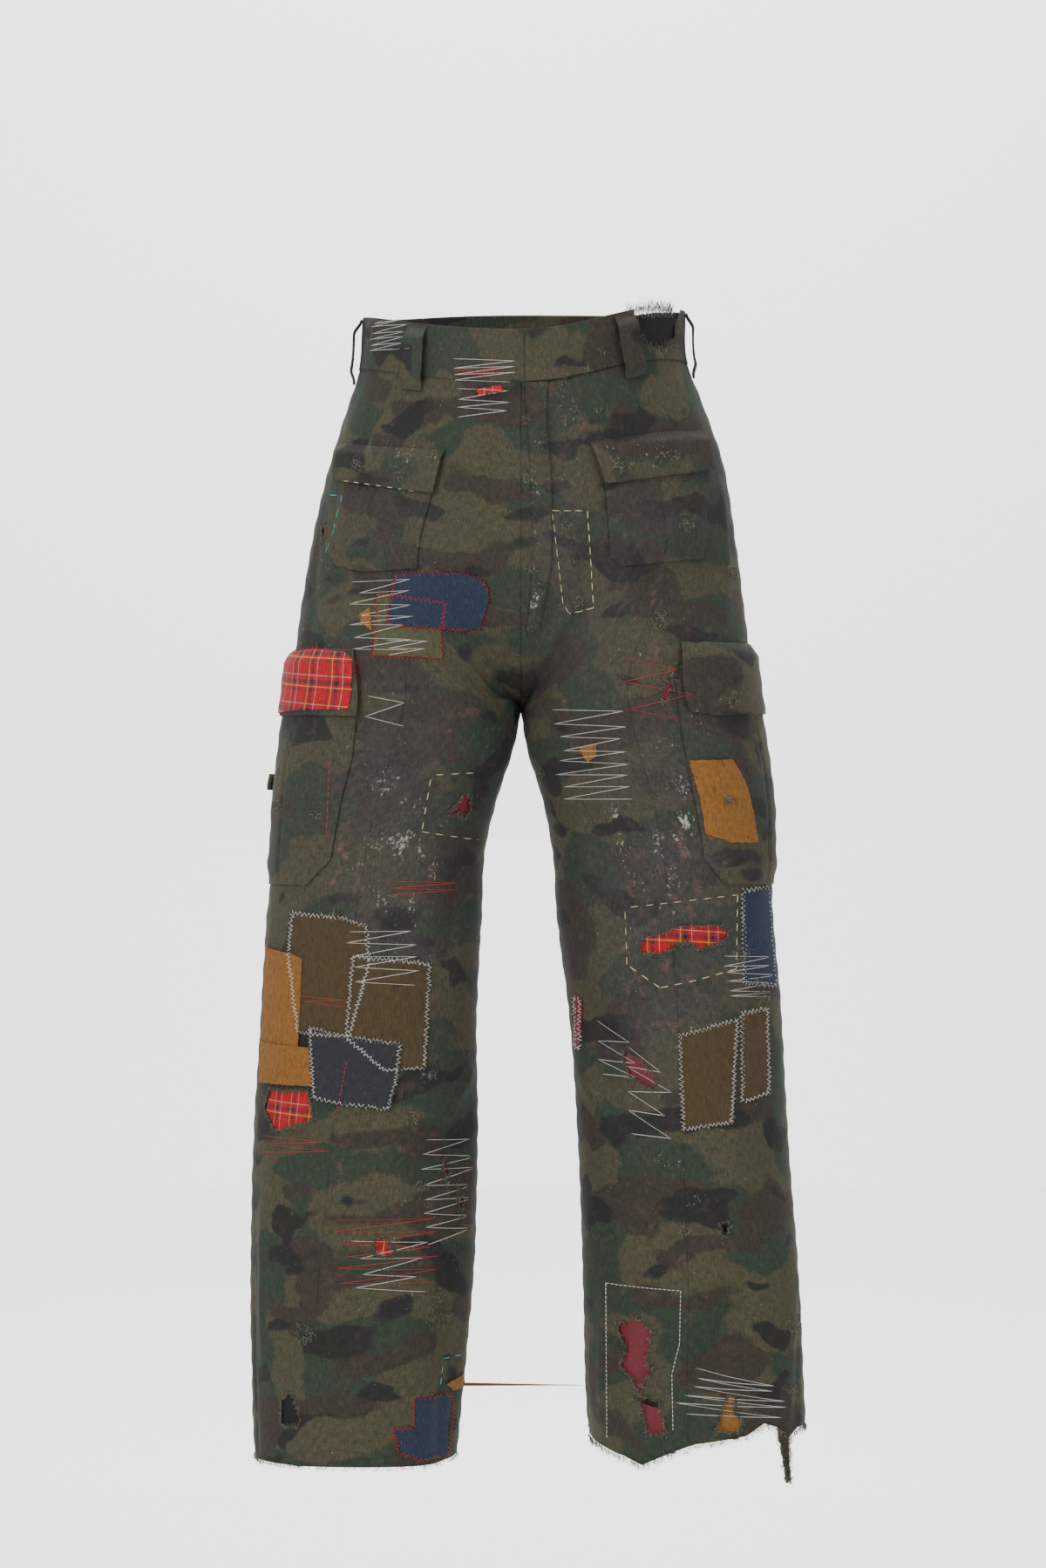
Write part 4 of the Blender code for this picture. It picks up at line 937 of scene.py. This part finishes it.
def weave_group():
    """Fine slubbed twill: a tone from thread to thread and a height for bump."""
    names = [("Tone", "NodeSocketFloat"), ("Height", "NodeSocketFloat")]
    group, kit, output, uv = new_group("Slub weave", names)
    slub = kit.noise(kit.stretch(uv, (1500, 130, 1)), 1.0, 2)
    weft = kit.noise(kit.stretch(uv, (160, 1300, 1)), 1.0, 2)
    mottled = kit.noise(kit.stretch(uv, (220, 160, 1)), 1.0, 4, 0.7)
    tone = kit.maths("ADD", kit.maths("MULTIPLY", slub, 0.55), kit.maths("MULTIPLY", weft, 0.30))
    tone = kit.maths("ADD", tone, kit.maths("MULTIPLY", mottled, 0.45))
    kit.tree.links.new(tone, output.inputs["Tone"])
    kit.tree.links.new(kit.maths("ADD", slub, weft), output.inputs["Height"])
    return group


def wear_group():
    """Masks for soot, pale scuffs and pink stains, from the marks painted on each piece."""
    names = [("Soot", "NodeSocketFloat"), ("Scuff", "NodeSocketFloat"), ("Pink", "NodeSocketFloat")]
    group, kit, output, uv = new_group("Wear", names)
    marks = kit.add("ShaderNodeAttribute", attribute_name="marks").outputs["Color"]
    parts = kit.add("ShaderNodeSeparateColor", {"Color": marks})
    cloud = kit.noise(kit.stretch(uv, (28, 22, 1)), 1.0, 5, 0.65)
    soot = kit.maths("MULTIPLY", parts.outputs[0], kit.band(cloud, 0.30, 0.56), True)
    fleck = kit.noise(kit.stretch(uv, (420, 250, 1)), 1.0, 5, 0.75)
    patchy = kit.noise(kit.stretch(uv, (60, 34, 1)), 1.0, 4, 0.6)
    chance = kit.maths("MULTIPLY", kit.maths("ADD", parts.outputs[1], 0.16), kit.band(patchy, 0.45, 0.66))
    scuff = kit.band(kit.maths("ADD", fleck, kit.maths("MULTIPLY", chance, 0.17)), 0.655, 0.735)
    blotch = kit.noise(kit.stretch(uv, (85, 70, 1)), 1.0, 4, 0.6)
    pink = kit.maths("MULTIPLY", kit.band(blotch, 0.53, 0.66),
                     kit.maths("ADD", parts.outputs[2], 0.08), True)
    for name, value in (("Soot", soot), ("Scuff", scuff), ("Pink", pink)):
        kit.tree.links.new(value, output.inputs[name])
    return group


def group_of(name, maker):
    """A node group, made the first time it is asked for."""
    return bpy.data.node_groups.get(name) or maker()


def camo_colour(kit, uv):
    """Camouflage under soot, pink stains and pale scuffs."""
    base = kit.add("ShaderNodeGroup", node_tree=group_of("Camouflage", camouflage_group)).outputs["Color"]
    wear = kit.add("ShaderNodeGroup", node_tree=group_of("Wear", wear_group))
    settings = bpy.context.scene.trousers
    colour = kit.mix(kit.maths("MULTIPLY", wear.outputs["Soot"], 0.82), base, (*settings.soot, 1))
    colour = kit.mix(kit.maths("MULTIPLY", wear.outputs["Pink"], 0.65), colour, (0.088, 0.042, 0.034, 1))
    return kit.mix(kit.maths("MULTIPLY", wear.outputs["Scuff"], 0.8), colour, (0.25, 0.24, 0.21, 1))


def tartan_colour(kit, uv):
    """Red check with dark bands and thin yellow and white lines."""
    parts = kit.add("ShaderNodeSeparateXYZ", {0: kit.stretch(uv, (1, 1, 1), 0.06)})
    ways = []
    for way in (0, 1):
        turn = kit.maths("FRACT", kit.maths("DIVIDE", parts.outputs[way], 0.026), 0)
        ramp = kit.add("ShaderNodeValToRGB", {"Fac": turn})
        ramp.color_ramp.interpolation = "CONSTANT"
        stops = ((0.0, (0.24, 0.002, 0.005)), (0.34, (0.010, 0.022, 0.014)), (0.40, (0.24, 0.002, 0.005)),
                 (0.47, (0.42, 0.30, 0.04)), (0.50, (0.24, 0.002, 0.005)), (0.58, (0.006, 0.010, 0.018)),
                 (0.72, (0.24, 0.002, 0.005)), (0.86, (0.30, 0.29, 0.26)), (0.885, (0.24, 0.002, 0.005)))
        elements = ramp.color_ramp.elements
        elements[0].color = (*stops[0][1], 1)
        elements.remove(elements[1])
        for at, colour in stops[1:]:
            elements.new(at).color = (*colour, 1)
        ways.append(ramp.outputs["Color"])
    return kit.mix(0.5, *ways)


def plain_colour(name):
    """The painter of one plain cloth."""
    def colour(kit, uv):
        base = (*COLOURS[name], 1)
        dark = tuple(v * 0.55 for v in COLOURS[name]) + (1,)
        if name == "denim":
            streaks = kit.noise(kit.stretch(uv, (1400, 160, 1)), 1.0, 2)
            return kit.mix(kit.band(streaks, 0.5, 0.8), base, (0.022, 0.034, 0.058, 1))
        if name in ("mustard", "brown", "olive"):
            cloud = kit.noise(kit.stretch(uv, (150, 90, 1)), 1.0, 5, 0.7)
            return kit.mix(kit.band(cloud, 0.5, 0.72), base, dark)
        if name == "navy":
            fleck = kit.noise(kit.stretch(uv, (500, 200, 1)), 1.0, 4, 0.7)
            return kit.mix(kit.band(fleck, 0.56, 0.76), base, (0.045, 0.038, 0.036, 1))
        return kit.mix(0.0, base, dark)

    return colour


def material_for(cloth):
    """The material of a cloth, made the first time it is asked for."""
    name = "cloth " + cloth
    if name in bpy.data.materials:
        return bpy.data.materials[name]
    material = bpy.data.materials.new(name)
    material.use_nodes = True
    tree = material.node_tree
    kit, shader = Nodes(tree), tree.nodes["Principled BSDF"]
    uv = kit.add("ShaderNodeUVMap", uv_map="cloth").outputs["UV"]
    painter = {"camo": camo_colour, "tartan": tartan_colour}.get(cloth) or plain_colour(cloth)
    colour = painter(kit, uv)
    weave = kit.add("ShaderNodeGroup", node_tree=group_of("Slub weave", weave_group))
    tone = kit.band(weave.outputs["Tone"], 0.42, 0.88)
    strength = 0.55 if cloth == "camo" else 0.4
    shade = kit.add("ShaderNodeMapRange", {"Value": tone, "To Min": 1 - strength, "To Max": 1 + strength})
    height = weave.outputs["Height"]
    if cloth in ("brown", "mustard"):
        parts = kit.add("ShaderNodeSeparateXYZ", {0: uv})
        wale = kit.maths("SINE", kit.maths("MULTIPLY", parts.outputs[0], 2 * math.pi / 0.0022), 0)
        height = kit.maths("ADD", height, wale)
    shaded = kit.add("ShaderNodeVectorMath", {0: colour, 1: shade.outputs[0]}, operation="MULTIPLY")
    tree.links.new(shaded.outputs[0], shader.inputs["Base Color"])
    shader.inputs["Roughness"].default_value = 0.55 if cloth == "crimson" else 0.88
    shader.inputs["Specular IOR Level"].default_value = 0.3
    bump = kit.add("ShaderNodeBump", {"Height": height, "Strength": 0.35, "Distance": 0.0006})
    tree.links.new(bump.outputs["Normal"], shader.inputs["Normal"])
    return material


def thread_material(name):
    """The material of a thread."""
    material = bpy.data.materials.new("thread " + name)
    material.use_nodes = True
    shader = material.node_tree.nodes["Principled BSDF"]
    shader.inputs["Base Color"].default_value = (*THREADS[name], 1)
    shader.inputs["Roughness"].default_value = 0.8
    return material


def build_stage():
    """A pale seamless sweep, soft lamps and a camera level with the knees."""
    profile = [(-7.0, -1.3), (2.0, -1.3), (4.8, -1.1), (5.2, -0.5), (5.2, 5.0)]
    points = [(x, y, z) for x in (-7.0, 7.0) for y, z in profile]
    count = len(profile)
    mesh = bpy.data.meshes.new("sweep")
    mesh.from_pydata(points, [], [(i, i + count, i + count + 1, i + 1) for i in range(count - 1)])
    paper = bpy.data.materials.new("sweep paper")
    paper.use_nodes = True
    paper.node_tree.nodes["Principled BSDF"].inputs["Base Color"].default_value = (0.93, 0.93, 0.93, 1)
    mesh.materials.append(paper)
    sweep = bpy.data.objects.new("sweep", mesh)
    items = [sweep]
    for name, where, size, watts in (
        ("key lamp", (-2.2, -3.0, 1.2), 1.8, 150), ("fill lamp", (2.6, -3.2, 0.5), 2.0, 75),
        ("top lamp", (0.0, -1.2, 2.6), 1.6, 50), ("sweep lamp", (0.0, 1.2, 3.2), 3.0, 520),
    ):
        lamp = bpy.data.lights.new(name, "AREA")
        lamp.size, lamp.energy = size, watts
        item = bpy.data.objects.new(name, lamp)
        item.location = where
        aim = Vector((0, 5.0 if name == "sweep lamp" else 0.0, -0.5)) - Vector(where)
        item.rotation_euler = aim.to_track_quat("-Z", "Y").to_euler()
        items.append(item)
    for item in items:
        bpy.context.scene.collection.objects.link(item)
    world = bpy.data.worlds.new("studio")
    world.use_nodes = True
    world.node_tree.nodes["Background"].inputs["Color"].default_value = (1, 1, 1, 1)
    world.node_tree.nodes["Background"].inputs["Strength"].default_value = 0.55
    bpy.context.scene.world = world
    camera = bpy.data.cameras.new("camera")
    camera.lens, camera.sensor_width = 135.9, 36
    eye = bpy.data.objects.new("camera", camera)
    eye.location = (1.6 * MM, -5.5, -400.5 * MM)
    eye.rotation_euler = (math.pi / 2, 0, 0)
    bpy.context.scene.collection.objects.link(eye)
    bpy.context.scene.camera = eye


class TrousersSettings(bpy.types.PropertyGroup):
    soot: FloatVectorProperty(name="Soot", description="Colour of the grey wash over the thighs", size=3,
                              subtype="COLOR", default=(0.026, 0.023, 0.021))


def operator(label, note, build):
    """Makes the operator class of one group of pieces."""

    def execute(self, context):
        build()
        return {"FINISHED"}

    word = label.lower().replace(" ", "_")
    return type("TROUSERS_OT_" + word, (bpy.types.Operator,), {
        "bl_idname": "trousers." + word, "bl_label": label, "__doc__": note, "execute": execute})


OPERATORS = [
    operator("Panels", "Builds the legs' front and back panels and their ragged hems", build_panels),
    operator("Band", "Builds the waistband, its tear and the fly", build_band),
    operator("Loops", "Builds the belt loops", build_loops),
    operator("Pockets", "Builds the hip and cargo pockets, flaps and their patches", build_pockets),
    operator("Patches", "Builds the sewn-on patches and the backings behind the holes", build_patches),
    operator("Threads", "Lays the darning, stitches and loose fibres", build_threads),
    operator("Stage", "Sets the sweep, lamps and camera", build_stage),
]


class TROUSERS_PT_panel(bpy.types.Panel):
    """Lists the steps that build the trousers."""

    bl_label = "Patched trousers"
    bl_idname = "TROUSERS_PT_panel"
    bl_space_type = "VIEW_3D"
    bl_region_type = "UI"
    bl_category = "Trousers"

    def draw(self, context):
        self.layout.prop(context.scene.trousers, "soot")
        for item in OPERATORS:
            self.layout.operator(item.bl_idname)


def register():
    """Adds the settings, operators and panel to Blender."""
    bpy.utils.register_class(TrousersSettings)
    bpy.types.Scene.trousers = PointerProperty(type=TrousersSettings)
    for item in [*OPERATORS, TROUSERS_PT_panel]:
        bpy.utils.register_class(item)


def unregister():
    """Takes them away again."""
    for item in [TROUSERS_PT_panel, *OPERATORS[::-1], TrousersSettings]:
        bpy.utils.unregister_class(item)
    del bpy.types.Scene.trousers


def main():
    """Builds the trousers and notes the boxes' sizes."""
    register()
    for item in OPERATORS:
        getattr(bpy.ops.trousers, item.bl_idname.split(".")[1])()


if __name__ == "__main__":
    main()
